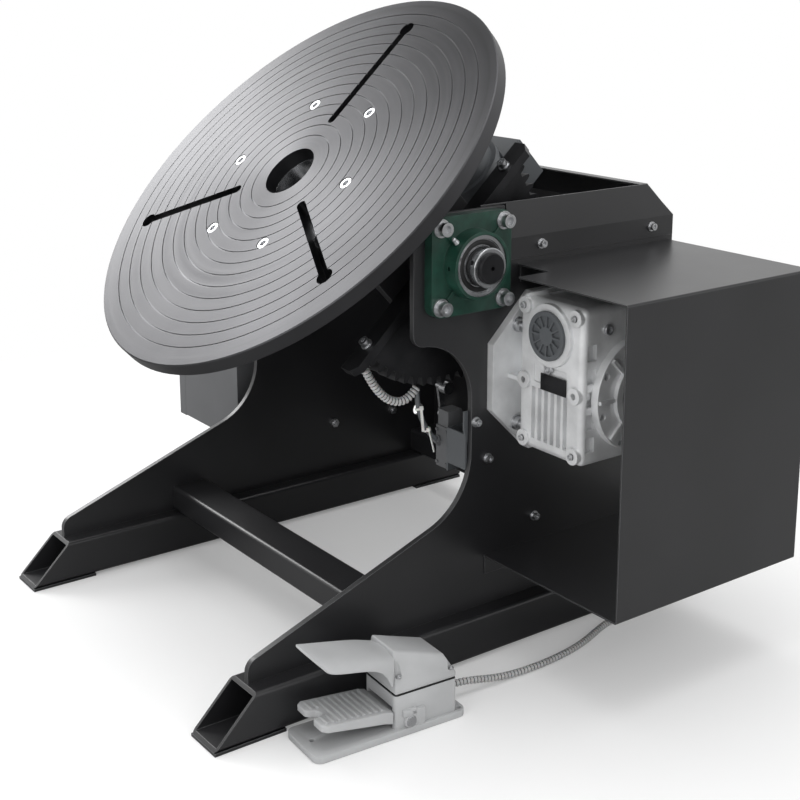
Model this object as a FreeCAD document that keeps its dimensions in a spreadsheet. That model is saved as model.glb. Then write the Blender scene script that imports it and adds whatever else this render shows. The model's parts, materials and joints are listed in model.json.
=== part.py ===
"""Welding positioner: a tilting, turning work table on a welded stand, with its foot pedal.

Millimetres, +Z up. The origin is on the ground under the middle of the tilt axis; the tilt
axis runs along X, the feet run along Y and the operator stands on the -Y side.
"""
import FreeCAD, Part
import math
import os
import re

import Sketcher
from FreeCAD import Placement, Rotation, Vector

NAME = "WeldingPositioner"

# Every size that can be set by itself, in millimetres, degrees or as a count.
SIZES = {
    # stand
    "inner_gap": 550,        # between the inner faces of the two side plates
    "plate_t": 8,
    "tube_w": 60,            # foot tubes, square
    "tube_h": 60,
    "tube_wall": 4,
    "tube_corner": 6,
    "tube_front": 396,       # front of the feet, ahead of the tilt axis
    "tube_rear": 424,
    "foot_slant": 60,        # run of the slanted front end of a foot
    "pad_t": 4,
    "pad_len": 100,
    "axis_height": 550,
    "toe_front": 334,        # side plate outline, from the tilt axis
    "toe_height": 26,
    "slope_angle": 20.2,
    "waist_y": 14,
    "waist_top": 103,        # underside of the bearing head, below the axis
    "head_front": 82,
    "head_top": 66,
    "head_rear": 66,
    "rear_top": 16,
    "plate_rear": 384,
    "toe_round": 18,
    "waist_round_low": 100,
    "waist_round_high": 85,
    "head_round_low": 16,
    "head_round_top": 45,
    "cross_w": 60,           # cross tubes, flat rectangular
    "cross_h": 40,
    "cross_wall": 3,
    "cross_corner": 5,
    "front_cross_y": 146,
    "rear_cross_y": 331,
    # flanged bearing units
    "shaft_d": 40,
    "flange_side": 130,
    "flange_t": 15,
    "flange_round": 16,
    "bolt_spacing": 102,
    "hub_d": 96,
    "hub_len": 36,
    "outer_ring_d": 80,
    "inner_ring_d": 52,
    "inner_ring_len": 51,
    "shaft_proud": 5,
    "run_gap": 0.05,
    "m12_head_d": 18,
    "m12_head_t": 12,
    "m12_washer_d": 24,
    "m12_washer_t": 2.5,
    # guard sheets
    "sheet_t": 2,
    "wing_low": 7,           # lower edge of the wing, below the axis
    "wing_fold": 22,
    "wing_top": 70,
    "wing_front": 27,
    "wing_lean": 5,
    "wing_chamfer_y": 52,
    "guard_low": 104,        # the rear sheet stands on the rear cross tube
    "guard_lip": 14,
    # tilting body, in its own frame (table level)
    "tilt_rest": 43,
    "arm_t": 16,
    "arm_outer": 212,        # outer face of the arms, from the middle
    "arm_width": 170,
    "arm_drop": 85,
    "carrier_top": 76,
    "carrier_t": 16,
    "carrier_width": 260,
    "sector_module": 5,
    "sector_teeth": 68,
    "sector_t": 20,
    "sector_hub_d": 80,
    "sector_chord": 10,
    "sector_bolt_r": 62,
    "pinion_teeth": 20,
    "mesh_angle": 47,
    "trip_w": 30,
    "trip_t": 12,
    "trip_reach": 197,
    "trip_inner": 46,
    "trip_screw_u": 155,
    "ring_inner_d": 170,
    "ring_outer_d": 244,
    "running": 0.3,
    # table
    "table_d": 672,
    "table_t": 22,
    "table_face": 126,
    "bore_d": 83,
    "hub_outer_d": 118,
    "hub_flange_t": 14,
    "ring_module": 4,
    "ring_teeth": 77,
    "table_pinion_teeth": 19,
    "table_pinion_angle": 51,
    "groove_count": 13,
    "groove_first": 66,
    "groove_pitch": 20,
    "groove_w": 1.6,
    "groove_depth": 1.2,
    "slot_w": 14,
    "slot_inner": 98,
    "slot_outer": 277,
    "keyhole_d": 24,
    "table_motor_d": 124,
    "table_screw_circle": 275,
    "table_screw_d": 18,
    "table_screws": 6,
    # worm gearbox of the tilt drive
    "worm_box_w": 120,
    "worm_box_front": 90,
    "worm_box_rear": 86,
    "worm_box_top": 119,
    "worm_box_bottom": 86,
    "worm_centre": 75,
    "box_offset": 40,        # from the side plate to the gearbox body
    "octagon": 220,
    "octagon_t": 12,
    "flange_bolt_circle": 192,
    "side_cover_d": 150,
    "side_cover_t": 12,
    "pilot_d": 95,
    "output_d": 50,
    "drive_bore_d": 28,
    "motor_d": 132,
    "motor_len": 145,
    # drive cover
    "cover_out": 254,
    "cover_front": 37.5,
    "cover_rear": 375,
    "cover_top": 14,
    "cover_low": 134,
    "cover_flange": 25,
    "notch_w": 62,
    "notch_y": 90,
    # control box
    "box_standoff": 34.5,
    "box_depth": 187,
    "box_width": 400,
    "box_height": 366,
    "box_low": 134,
    "box_wall": 2,
    "door_gap": 0.5,
    "door_t": 24,
    "lock_reach": 15,
    "box_bolt_front": 164,
    "box_bolt_rear": 288,
    "box_bolt_low": 150,
    "box_bolt_high": 480,
    "cable_hole_y": 347,
    "cable_hole_z": 139,
    "cable_hole_d": 22,
    # limit switch
    "roller_y": 21,
    "roller_drop": 188,
    "roller_d": 18,
    "lever_len": 42,
    "lever_turn": 8,
    "switch_x": 222,
    "switch_h": 70.4,        # from the lever's pin down to the foot of the case
    # pedal
    "pedal_x": 364,
    "pedal_y": 194,
    "pedal_turn": 4,
    "pedal_w": 80,
    "pedal_len": 204,
    "pedal_base_t": 9,
    "pedal_body_w": 72,
    "pedal_body_len": 92,
    "pedal_split": 53,
    "pedal_gasket_t": 1.5,
    "pedal_cover_front": 108,
    "pedal_cover_rear": 82,
    "treadle_w": 70,
    "hood_reach": 108,
    "hood_front": 126,
    "hood_wall": 3.5,
    "cord_d": 9,
    "conduit_d": 12,
    "switch_cable_d": 7,
}

doc = FreeCAD.newDocument(NAME)
sheet = doc.addObject("Spreadsheet::Sheet", "Sizes")
for row, (alias, number) in enumerate(SIZES.items(), start=1):
    sheet.set(f"A{row}", alias)
    sheet.set(f"B{row}", str(number))
    sheet.setAlias(f"B{row}", alias)
doc.recompute()


def fx(text):
    """Turn a formula in plain size names into one that reads the sheet."""
    return re.sub(r"[a-z][a-z0-9_]*", lambda m: "Sizes." + m[0] if m[0] in SIZES else m[0], str(text))


def size(alias):
    """A size read back from the sheet."""
    return float(sheet.get(alias))


MESH = "(sector_teeth + pinion_teeth) * sector_module / 2"
DRIVE_Y = f"({MESH} * cos(mesh_angle))"
DRIVE_Z = f"(axis_height - {MESH} * sin(mesh_angle))"
PLATE_OUT = "(inner_gap / 2 + plate_t)"
FLOOR_TOP = "(pad_t + tube_h)"

# The origin is under the middle of the whole machine; these move the plates' middle and the tilt axis off it.
MIDDLE = ("(box_standoff + box_depth + door_gap + door_t + lock_reach - cover_out) / 2",
          "(tube_front - tube_rear) / 2", "0")

# Where each group of pieces has its own origin, and how it is turned.
FRAMES = {
    "floor": (("0", "0", "0"), Vector(0, 0, 1), "0"),
    "axis": (("0", "0", "axis_height"), Vector(1, 0, 0), "0"),
    "tilt": (("0", "0", "axis_height"), Vector(1, 0, 0), "tilt_rest"),
    "drive": (("0", DRIVE_Y, DRIVE_Z), Vector(1, 0, 0), "0"),
    "pedal": (("pedal_x", "-pedal_y", "0"), Vector(0, 0, 1), "-pedal_turn"),
}
TURN = {"x": Rotation(Vector(0, 1, 0), 90), "y": Rotation(Vector(1, 0, 0), -90), "z": Rotation()}
pieces = []


def place(obj, frame):
    """Put an object on the origin of its group."""
    base, axis, angle = FRAMES[frame]
    obj.Placement = Placement(Vector(), Rotation(axis, 1))
    for letter, middle, text in zip("xyz", MIDDLE, base):
        obj.setExpression(f"Placement.Base.{letter}", fx(f"{middle} + {text}"))
    obj.setExpression("Placement.Rotation.Angle", fx(angle))


class Piece:
    """One piece of the machine: a body whose features read their sizes from the sheet."""

    def __init__(self, name, frame="floor"):
        self.body = doc.addObject("PartDesign::Body", name)
        self.body.Label = name
        self.body.AllowCompound = True
        self.frame = frame
        self.steps = 0
        place(self.body, frame)
        pieces.append(self.body)

    def new(self, kind, label):
        self.steps += 1
        return self.body.newObject(kind, f"{self.body.Name}_{label}_{self.steps}")

    def primitive(self, shape, cut, at, sizes, turn):
        kind = "Subtractive" if cut else "Additive"
        step = self.new(f"PartDesign::{kind}{shape}", shape)
        step.Placement = Placement(Vector(), turn)
        for letter, text in zip("xyz", at):
            step.setExpression(f"Placement.Base.{letter}", fx(text))
        for prop, text in sizes.items():
            step.setExpression(prop, fx(text))
        return step

    def box(self, at, length, width, height, cut=False, turn=Rotation()):
        return self.primitive("Box", cut, at, {"Length": length, "Width": width, "Height": height}, turn)

    def rod(self, at, axis, radius, length, cut=False):
        """A cylinder along x, y or z."""
        turn = axis if isinstance(axis, Rotation) else TURN[axis]
        return self.primitive("Cylinder", cut, at, {"Radius": radius, "Height": length}, turn)

    def cone(self, at, axis, radius1, radius2, length, cut=False):
        turn = axis if isinstance(axis, Rotation) else TURN[axis]
        sizes = {"Radius1": radius1, "Radius2": radius2, "Height": length}
        return self.primitive("Cone", cut, at, sizes, turn)

    def sketch(self, plane, points, start="0", lean=None):
        """A closed outline on one of the body's origin planes, moved along its normal by start."""
        outline = self.new("Sketcher::SketchObject", "Outline")
        role = f"{plane}_Plane"
        base = next(item for item in self.body.Origin.OriginFeatures if item.Role == role)
        outline.AttachmentSupport = [(base, "")]
        outline.MapMode = "FlatFace"
        if lean:
            outline.AttachmentOffset = Placement(Vector(), Rotation(Vector(1, 0, 0), 1))
            outline.setExpression("AttachmentOffset.Rotation.Angle", fx(lean[0]))
            outline.setExpression("AttachmentOffset.Base.y", fx(lean[1]))
        outline.setExpression("AttachmentOffset.Base.z", fx(start))
        count = len(points)
        ring = [
            Vector(100 * math.cos(2 * math.pi * i / count), 100 * math.sin(2 * math.pi * i / count), 0)
            for i in range(count)
        ]
        outline.addGeometry([Part.LineSegment(ring[i], ring[(i + 1) % count]) for i in range(count)])
        for i in range(count):
            outline.addConstraint(Sketcher.Constraint("Coincident", i, 2, (i + 1) % count, 1))
        for i, (across, up) in enumerate(points):
            for kind, text, now in (("DistanceX", across, ring[i].x), ("DistanceY", up, ring[i].y)):
                number = outline.addConstraint(Sketcher.Constraint(kind, -1, 1, i, 1, now))
                outline.setExpression(f"Constraints[{number}]", fx(text))
        return outline

    def pad(self, plane, points, start, length, cut=False, lean=None):
        """Extrude an outline along the normal of its plane (X for YZ, -Y for XZ, Z for XY)."""
        outline = self.sketch(plane, points, start, lean)
        step = self.new("PartDesign::Pocket" if cut else "PartDesign::Pad", "Pad")
        step.Profile = outline
        step.Reversed = cut
        step.setExpression("Length", fx(length))
        outline.Visibility = False
        return step

    def turned(self, plane, points, axis="H_Axis", cut=False):
        """Revolve an outline about the sketch's own axis."""
        outline = self.sketch(plane, points)
        step = self.new("PartDesign::Groove" if cut else "PartDesign::Revolution", "Turned")
        step.Profile = outline
        step.ReferenceAxis = (outline, [axis])
        step.Angle = 360
        return step

    def polar(self, steps, axis, count, reverse=False, angle="360"):
        """Repeat features round one of the body's axes."""
        line = next(item for item in self.body.Origin.OriginFeatures if item.Role == f"{axis}_Axis")
        pattern = self.new("PartDesign::PolarPattern", "Round")
        pattern.Originals = steps
        pattern.Axis = (line, [""])
        pattern.Reversed = reverse
        pattern.setExpression("Angle", fx(angle))
        pattern.setExpression("Occurrences", fx(count))
        self.body.Tip = pattern
        return pattern

    def blend(self, radius, choose, kind="Fillet"):
        """Round or chamfer the edges that choose(middle, direction, edge) accepts."""
        doc.recompute()
        base = self.body.Tip
        names = []
        for number, edge in enumerate(base.Shape.Edges, start=1):
            if len(edge.Vertexes) < 2:
                middle, along = edge.CenterOfMass, Vector()
            else:
                middle = edge.CenterOfMass
                along = edge.Vertexes[1].Point - edge.Vertexes[0].Point
            if along.Length > 0:
                along.normalize()
            if choose(middle, along, edge):
                names.append(f"Edge{number}")
        if not names:
            raise RuntimeError(f"{self.body.Name}: no edge to blend")
        step = self.new(f"PartDesign::{kind}", kind)
        step.Base = (base, names)
        step.setExpression("Radius" if kind == "Fillet" else "Size", fx(radius))
        return step

    def pad_ring(self, inner, width, start, depth):
        """Cut a round groove about z."""
        outline = [(inner, start), (f"{inner} + {width}", start), (f"{inner} + {width}", f"{start} + {depth}"),
                   (inner, f"{start} + {depth}")]
        return self.turned("XZ", outline, "V_Axis", cut=True)

    def turned_y(self, x, z, radius, end):
        """Shallow round slot in a face that looks along +y."""
        self.rod((x, f"{end} - 3", z), "y", f"{radius} + 3", "4", cut=True)
        self.rod((x, f"{end} - 4", z), "y", f"{radius}", "3.5")


def cap_screws(name, frame, axis, places, head_d, head_t, shank_d, shank_len, washer_d="0", washer_t="0",
               sign=1, socket_d="0"):
    """Socket-head screws with washers: each seats on the plane through its place, head on +axis*sign."""
    screws = Piece(name, frame)
    add_screws(screws, axis, places, head_d, head_t, shank_d, shank_len, washer_d, washer_t, sign, socket_d)
    return screws


def add_screws(screws, axis, places, head_d, head_t, shank_d, shank_len, washer_d="0", washer_t="0",
               sign=1, socket_d="0"):
    """Add screws to a piece, one solid for each place."""
    index = "xyz".index(axis)
    for at in places:
        def shifted(text):
            spot = list(at)
            spot[index] = f"({at[index]} + {sign} * ({text}))"
            return tuple(spot)

        turn = TURN[axis] if sign > 0 else Rotation(TURN[axis].multVec(Vector(1, 0, 0)), 180) * TURN[axis]
        if washer_t != "0":
            screws.rod(shifted("0"), turn, f"{washer_d} / 2", washer_t)
        screws.rod(shifted(washer_t), turn, f"{head_d} / 2", head_t)
        screws.rod(shifted(f"-({shank_len})"), turn, f"{shank_d} / 2", f"{shank_len} + {washer_t} + 1")
        if socket_d != "0":
            screws.rod(shifted(f"{washer_t} + {head_t} / 2"), turn, f"{socket_d} / 2", f"{head_t}", cut=True)


def drill(piece, axis, places, diameter, depth):
    """Holes that start on each place and run along the axis."""
    for at in places:
        piece.rod(at, axis, f"({diameter}) / 2", depth, cut=True)


def span(side, inner, outer):
    """Start along X of what lies between two distances from the middle, on one side of it."""
    return inner if side > 0 else f"-({outer})"


def along_x(middle, along, edge):
    return abs(along.x) > 0.99


def corner_at(y, z, reach=1.0):
    """Choose the edges along X that pass through a point of the YZ plane."""
    def choose(middle, along, edge):
        return along_x(middle, along, edge) and abs(middle.y - y) < reach and abs(middle.z - z) < reach
    return choose


# ---------------------------------------------------------------- stand
def foot_tube(side, name):
    """Square tube with an open, slanted front end."""
    tube = Piece(name)
    left = f"{side} * (inner_gap / 2 + plate_t / 2) - tube_w / 2"
    length = "tube_front + tube_rear"
    tube.box((left, "-tube_front", "pad_t"), "tube_w", length, "tube_h")
    tube.blend("tube_corner", lambda middle, along, edge: abs(along.y) > 0.99)
    tube.box((f"{left} + tube_wall", "-tube_front", "pad_t + tube_wall"), "tube_w - 2 * tube_wall",
             length, "tube_h - 2 * tube_wall", cut=True)
    top = f"{FLOOR_TOP} + 1"
    slant = "foot_slant * (tube_h + 1) / tube_h"
    tube.pad("YZ", [("-tube_front", "pad_t"), (f"-tube_front + {slant}", top), ("-tube_front - 1", top),
                    ("-tube_front - 1", "pad_t")], f"{left} - 1", "tube_w + 2", cut=True)
    return tube


def foot_pads():
    """Flat pads welded under both ends of each foot."""
    pads = Piece("foot_pads")
    for side in (1, -1):
        left = f"{side} * (inner_gap / 2 + plate_t / 2) - tube_w / 2"
        pads.box((left, "-tube_front", "0"), "tube_w", "pad_len", "pad_t")
        pads.box((left, "tube_rear - pad_len", "0"), "tube_w", "pad_len", "pad_t")
    return pads


BOLT = "bolt_spacing / 2"
BEARING_BOLTS = [(y, z) for y in (f"{BOLT}", f"-{BOLT}") for z in (f"{BOLT}", f"-{BOLT}")]
FLANGE_BOLTS = [(f"flange_bolt_circle / 2 * cos({a})", f"flange_bolt_circle / 2 * sin({a})")
                for a in (45, 135, 225, 315)]
GUARD_SCREWS = [("129", "9"), ("338", "9")]
COVER_SCREWS = [("128", "172")]
LEVER_Y = "(roller_y + lever_len * sin(lever_turn))"
LEVER_Z = "(axis_height - roller_drop - lever_len * cos(lever_turn))"
SWITCH_LOW = f"({LEVER_Z} - switch_h)"
BRACKET_SCREWS = [("21", f"{SWITCH_LOW} + 80"), ("42", f"{SWITCH_LOW} + 25")]
FLANGE_SCREWS = [(y, "(cover_low - cover_flange / 2)") for y in ("90", "315")]
BOX_BOLTS = [(y, z) for y in ("box_bolt_front", "box_bolt_rear") for z in ("box_bolt_low", "box_bolt_high")]


def side_plate(side, name):
    """Laser-cut side plate: a long toe, a waist behind the window and the bearing head."""
    plate = Piece(name)
    slope_top = f"{FLOOR_TOP} + toe_height + (toe_front + waist_y) * tan(slope_angle)"
    plate.pad("YZ", [
        ("-toe_front", FLOOR_TOP),
        ("-toe_front", f"{FLOOR_TOP} + toe_height"),
        ("waist_y", slope_top),
        ("waist_y", "axis_height - waist_top"),
        ("-head_front", "axis_height - waist_top"),
        ("-head_front", "axis_height + head_top"),
        ("head_rear", "axis_height + head_top"),
        ("head_rear", "axis_height + rear_top"),
        ("plate_rear", "axis_height + rear_top"),
        ("plate_rear", FLOOR_TOP),
    ], span(side, "inner_gap / 2", PLATE_OUT), "plate_t")
    floor = size("pad_t") + size("tube_h")
    toe = floor + size("toe_height")
    low = toe + (size("toe_front") + size("waist_y")) * math.tan(math.radians(size("slope_angle")))
    axis = size("axis_height")
    head = axis - size("waist_top")
    plate.blend("toe_round", corner_at(-size("toe_front"), toe))
    plate.blend("waist_round_low", corner_at(size("waist_y"), low))
    plate.blend("waist_round_high", corner_at(size("waist_y"), head))
    plate.blend("head_round_low", corner_at(-size("head_front"), head))
    plate.blend("head_round_top", corner_at(-size("head_front"), axis + size("head_top")))
    start = f"{span(side, 'inner_gap / 2', PLATE_OUT)} - 1"
    through = "plate_t + 2"
    drill(plate, "x", [(start, "0", "axis_height")], "inner_ring_d + 8", through)
    drill(plate, "x", [(start, y, f"axis_height + {z}") for y, z in BEARING_BOLTS], "12 + 1", through)
    drill(plate, "x", [(start, y, f"axis_height + {z}") for y, z in GUARD_SCREWS], "6 + 0.4", through)
    if side > 0:
        drill(plate, "x", [(start, DRIVE_Y, DRIVE_Z)], "output_d + 4", through)
        drill(plate, "x", [(start, f"{DRIVE_Y} + {y}", f"{DRIVE_Z} + {z}") for y, z in FLANGE_BOLTS],
              "10 + 1", through)
        drill(plate, "x", [(start, y, z) for y, z in BRACKET_SCREWS + COVER_SCREWS + FLANGE_SCREWS],
              "6 + 0.4", through)
    else:
        drill(plate, "x", [(start, y, z) for y, z in BOX_BOLTS], "8 + 0.6", through)
        drill(plate, "x", [(start, "cable_hole_y", "cable_hole_z")], "cable_hole_d", through)
    return plate


def cross_tube(name, front):
    """Flat rectangular tube welded between the side plates on top of the foot tubes."""
    tube = Piece(name)
    left = "-inner_gap / 2"
    tube.box((left, front, FLOOR_TOP), "inner_gap", "cross_w", "cross_h")
    tube.blend("cross_corner", along_x)
    tube.box((left, f"{front} + cross_wall", f"{FLOOR_TOP} + cross_wall"), "inner_gap",
             "cross_w - 2 * cross_wall", "cross_h - 2 * cross_wall", cut=True)
    return tube


def guard_wing(side, name):
    """Side sheet of the guard: a flat strip screwed on the plate, folded to lean inwards above it."""
    wing = Piece(name)
    outer = f"{PLATE_OUT} + sheet_t"
    start = span(side, PLATE_OUT, outer)
    wing.box((start, "head_rear + 4", "axis_height - wing_low"), "sheet_t",
             "plate_rear - 2 - (head_rear + 4)", "wing_fold + wing_low")
    rise = "(wing_top - wing_fold)"
    clear = "(head_top + 2 - wing_fold)"
    wing.pad("YZ", [
        ("head_rear + 4", "-0.4"),
        ("plate_rear - 2", "-0.4"),
        ("plate_rear - 2 - wing_chamfer_y", rise),
        ("wing_front", rise),
        ("wing_front", clear),
        ("head_rear + 4", clear),
    ], start, "sheet_t", lean=(f"{-side} * wing_lean", "axis_height + wing_fold"))
    drill(wing, "x", [(f"{start} - 1", y, f"axis_height + {z}") for y, z in GUARD_SCREWS],
          "6 + 0.4", "sheet_t + 2")
    return wing


def rear_guard():
    """Folded sheet behind the table: an upright wall, a slope towards the table and a lip."""
    guard = Piece("rear_guard")
    rear = "plate_rear + sheet_t"
    low = "guard_low"
    bend = "axis_height + wing_fold"
    top = "axis_height + wing_top"
    slope_y = f"({rear} - wing_chamfer_y)"
    guard.pad("YZ", [
        (rear, low),
        (rear, bend),
        (slope_y, top),
        (f"{slope_y} - guard_lip", top),
        (f"{slope_y} - guard_lip", f"{top} - sheet_t"),
        (f"{slope_y} - sheet_t * 0.4", f"{top} - sheet_t"),
        ("plate_rear", f"{bend} - sheet_t * 0.4"),
        ("plate_rear", low),
    ], "-inner_gap / 2 - 3", "inner_gap + 6")
    return guard



# ---------------------------------------------------------------- flanged bearing units
def bearing_housing(side, name):
    """Square cast flange with a round hub and diagonal corner ribs."""
    unit = Piece(name, "axis")
    start = span(side, PLATE_OUT, f"{PLATE_OUT} + flange_t")
    half = "flange_side / 2"
    unit.box((start, f"-{half}", f"-{half}"), "flange_t", "flange_side", "flange_side")
    unit.blend("flange_round", along_x)
    hub = span(side, PLATE_OUT, f"{PLATE_OUT} + hub_len")
    if side > 0:
        unit.cone((hub, "0", "0"), "x", "hub_d / 2", "hub_d / 2 - 4", "hub_len")
    else:
        unit.cone((hub, "0", "0"), "x", "hub_d / 2 - 4", "hub_d / 2", "hub_len")
    rib = f"{span(side, f'{PLATE_OUT} + flange_t', f'{PLATE_OUT} + flange_t + 4')}"
    for angle in (45, 135):
        turn = Rotation(Vector(1, 0, 0), angle)
        across = "flange_side * 0.62"
        unit.box((rib, f"-{across} * cos({angle}) + 2.5 * sin({angle})",
                  f"-{across} * sin({angle}) - 2.5 * cos({angle})"), "4", f"2 * {across}", "5", turn=turn)
    for y, z in BEARING_BOLTS:
        unit.rod((rib, y, z), "x", "m12_washer_d / 2 + 1", "5", cut=True)
    far = f"{start} - 1" if side > 0 else f"-{PLATE_OUT} - hub_len - 1"
    unit.rod((far, "0", "0"), "x", "outer_ring_d / 2 + run_gap", "hub_len + 2", cut=True)
    drill(unit, "x", [(far, y, z) for y, z in BEARING_BOLTS], "12 + 1", "hub_len + 2")
    nipple = Rotation(Vector(1, 0, 0), 90)
    unit.rod((f"{side} * ({PLATE_OUT} + flange_t + 9)", f"-hub_d / 2 + 8", "0"), nipple, "2.5", "12", cut=True)
    return unit


def bearing_bolts():
    """Four socket screws with washers for each bearing unit."""
    seat = f"({PLATE_OUT} + flange_t)"
    long = "flange_t + plate_t + 14"
    bolts = cap_screws("bearing_bolts", "axis", "x", [(seat, y, z) for y, z in BEARING_BOLTS], "m12_head_d",
                       "m12_head_t", "12", long, "m12_washer_d", "m12_washer_t", 1, "10")
    add_screws(bolts, "x", [(f"-{seat}", y, z) for y, z in BEARING_BOLTS], "m12_head_d", "m12_head_t", "12",
               long, "m12_washer_d", "m12_washer_t", -1, "10")
    return bolts


def bearing_outer_ring(side, name):
    """Outer ring of the insert with its seal."""
    ring = Piece(name, "axis")
    inner = f"{PLATE_OUT} + 8"
    face = f"{PLATE_OUT} + hub_len - 2"
    start = span(side, inner, face)
    ring.rod((start, "0", "0"), "x", "outer_ring_d / 2", f"{face} - ({inner})")
    ring.rod((f"{start} - 1", "0", "0"), "x", "inner_ring_d / 2 + running", f"{face} - ({inner}) + 2", cut=True)
    recess = span(side, f"{face} - 2", f"{face}")
    ring.rod((recess, "0", "0"), "x", "outer_ring_d / 2 - 5", "2", cut=True)
    return ring


def bearing_inner_ring(side, name):
    """Extended inner ring, which turns with the shaft."""
    ring = Piece(name, "axis")
    inner = f"{PLATE_OUT} + 2"
    face = f"{PLATE_OUT} + inner_ring_len"
    start = span(side, inner, face)
    ring.rod((start, "0", "0"), "x", "inner_ring_d / 2", f"{face} - ({inner})")
    ring.blend("1.5", lambda middle, along, edge: abs(edge.BoundBox.XLength) < 0.01)
    ring.rod((f"{start} - 1", "0", "0"), "x", "shaft_d / 2 + run_gap", f"{face} - ({inner}) + 2", cut=True)
    return ring


# ---------------------------------------------------------------- tilting body
def stub_shaft(side, name):
    """Shaft end that carries the tilting body, centre-drilled on its outer face."""
    shaft = Piece(name, "axis")
    inner = "arm_outer - arm_t"
    outer = f"{PLATE_OUT} + inner_ring_len + shaft_proud"
    start = span(side, inner, outer)
    shaft.rod((start, "0", "0"), "x", "shaft_d / 2", f"{outer} - ({inner})")
    shaft.blend("1.5", lambda middle, along, edge: abs(edge.BoundBox.XLength) < 0.01, "Chamfer")
    centre = span(side, f"{outer} - 6", outer)
    shaft.rod((centre, "0", "0"), "x", "3", "6", cut=True)
    return shaft


def tilt_arm(side, name):
    """Upright cheek between the stub shaft and the table carrier."""
    arm = Piece(name, "tilt")
    start = span(side, "arm_outer - arm_t", "arm_outer")
    low = "-arm_drop"
    arm.pad("YZ", [("-arm_width / 2 + 30", low), ("arm_width / 2 - 30", low), ("arm_width / 2", f"{low} + 45"),
                   ("arm_width / 2", "carrier_top - carrier_t"), ("-arm_width / 2", "carrier_top - carrier_t"),
                   ("-arm_width / 2", f"{low} + 45")], start, "arm_t")
    arm.rod((f"{start} - 1", "0", "0"), "x", "shaft_d / 2 + run_gap", "arm_t + 2", cut=True)
    if side > 0:
        drill(arm, "x", [(f"{start} - 1", y, z) for y, z in SECTOR_BOLTS], "10 + 0.6", "arm_t + 2")
    return arm


SECTOR_BOLTS = [(f"sector_bolt_r * cos({a})", f"sector_bolt_r * sin({a})") for a in (-30, -90, -150)]
RING_C = "(ring_teeth + table_pinion_teeth) * ring_module / 2"
TABLE_PINION_X = f"({RING_C} * cos(table_pinion_angle))"
TABLE_PINION_Y = f"({RING_C} * sin(table_pinion_angle))"


def table_carrier():
    """Thick plate under the table, with the opening for the hub and the drive."""
    plate = Piece("table_carrier", "tilt")
    low = "carrier_top - carrier_t"
    plate.box(("-arm_outer", "-carrier_width / 2", low), "2 * arm_outer", "carrier_width", "carrier_t")
    plate.blend("30", lambda middle, along, edge: abs(along.z) > 0.99)
    across = "table_motor_d / 2 + 13"
    plate.rod((TABLE_PINION_X, TABLE_PINION_Y, low), "z", across, "carrier_t")
    plate.rod(("0", "0", f"{low} - 1"), "z", "hub_outer_d / 2 + 2", "carrier_t + 2", cut=True)
    plate.rod((TABLE_PINION_X, TABLE_PINION_Y, f"{low} - 1"), "z", "24", "carrier_t + 2", cut=True)
    return plate


def slewing_ring():
    """Fixed race of the table bearing, bolted on the carrier."""
    ring = Piece("slewing_ring", "tilt")
    height = "table_face - table_t - hub_flange_t - running - carrier_top"
    ring.rod(("0", "0", "carrier_top"), "z", "ring_outer_d / 2", height)
    ring.blend("1.5", lambda middle, along, edge: abs(edge.BoundBox.ZLength) < 0.01, "Chamfer")
    ring.rod(("0", "0", "carrier_top - 1"), "z", "ring_inner_d / 2", f"{height} + 2", cut=True)
    return ring


def table_gearmotor():
    """Flanged gearmotor that hangs under the carrier beside the hub."""
    motor = Piece("table_gearmotor", "tilt")
    top = "carrier_top - carrier_t"
    x, y = TABLE_PINION_X, TABLE_PINION_Y
    motor.rod((x, y, f"{top} - 12"), "z", "62", "12")
    motor.cone((x, y, f"{top} - 75"), "z", "52", "46", "63")
    motor.rod((x, y, f"{top} - 85"), "z", "60", "10")
    motor.rod((x, y, f"{top} - 190"), "z", "56", "105")
    motor.rod((x, y, f"{top} - 212"), "z", "58", "24")
    for angle in range(0, 360, 30):
        turn = Rotation(Vector(0, 0, 1), angle)
        motor.box((f"{x} + 55 * cos({angle}) + 1.5 * sin({angle})", f"{y} + 55 * sin({angle}) - 1.5 * cos({angle})",
                   f"{top} - 186"), "5", "3", "98", turn=turn)
    motor.box((f"{x} - 40", f"{y} + 50", f"{top} - 165"), "80", "34", "66")
    motor.rod((x, y, f"{top} + 0"), "z", "23", "carrier_t - 1")
    motor.rod((x, y, f"{top} - 20"), "z", "10 + run_gap", "carrier_t + 30", cut=True)
    return motor


def tooth_ring(module, teeth, phase, first=0, last=None):
    """Points of a toothed outline: straight-flanked teeth rounded to the involute's width."""
    pitch = 360.0 / teeth
    radius = module * teeth / 2.0
    half = ((-1.22, 0.345), (-1.0, 0.315), (0.0, 0.235), (0.6, 0.155), (1.0, 0.085))
    points = []
    for number in range(first, teeth if last is None else last):
        centre = phase + number * pitch
        flank = [(radius + step * module, -wide * pitch) for step, wide in half]
        flank += [(r, -turn) for r, turn in reversed(flank)]
        for r, turn in flank:
            angle = math.radians(centre + turn)
            points.append((r * math.cos(angle), r * math.sin(angle)))
    return points


def shape_piece(name, frame, shape):
    """A piece whose shape comes from Part's own functions, placed after its shape is set."""
    piece = doc.addObject("Part::Feature", name)
    piece.Label = name
    piece.Shape = shape
    place(piece, frame)
    pieces.append(piece)
    return piece


def extruded(points, direction):
    """Prism over a closed outline given in 3-D."""
    wire = Part.makePolygon(points + [points[0]])
    return Part.Face(wire).extrude(direction)


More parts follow.
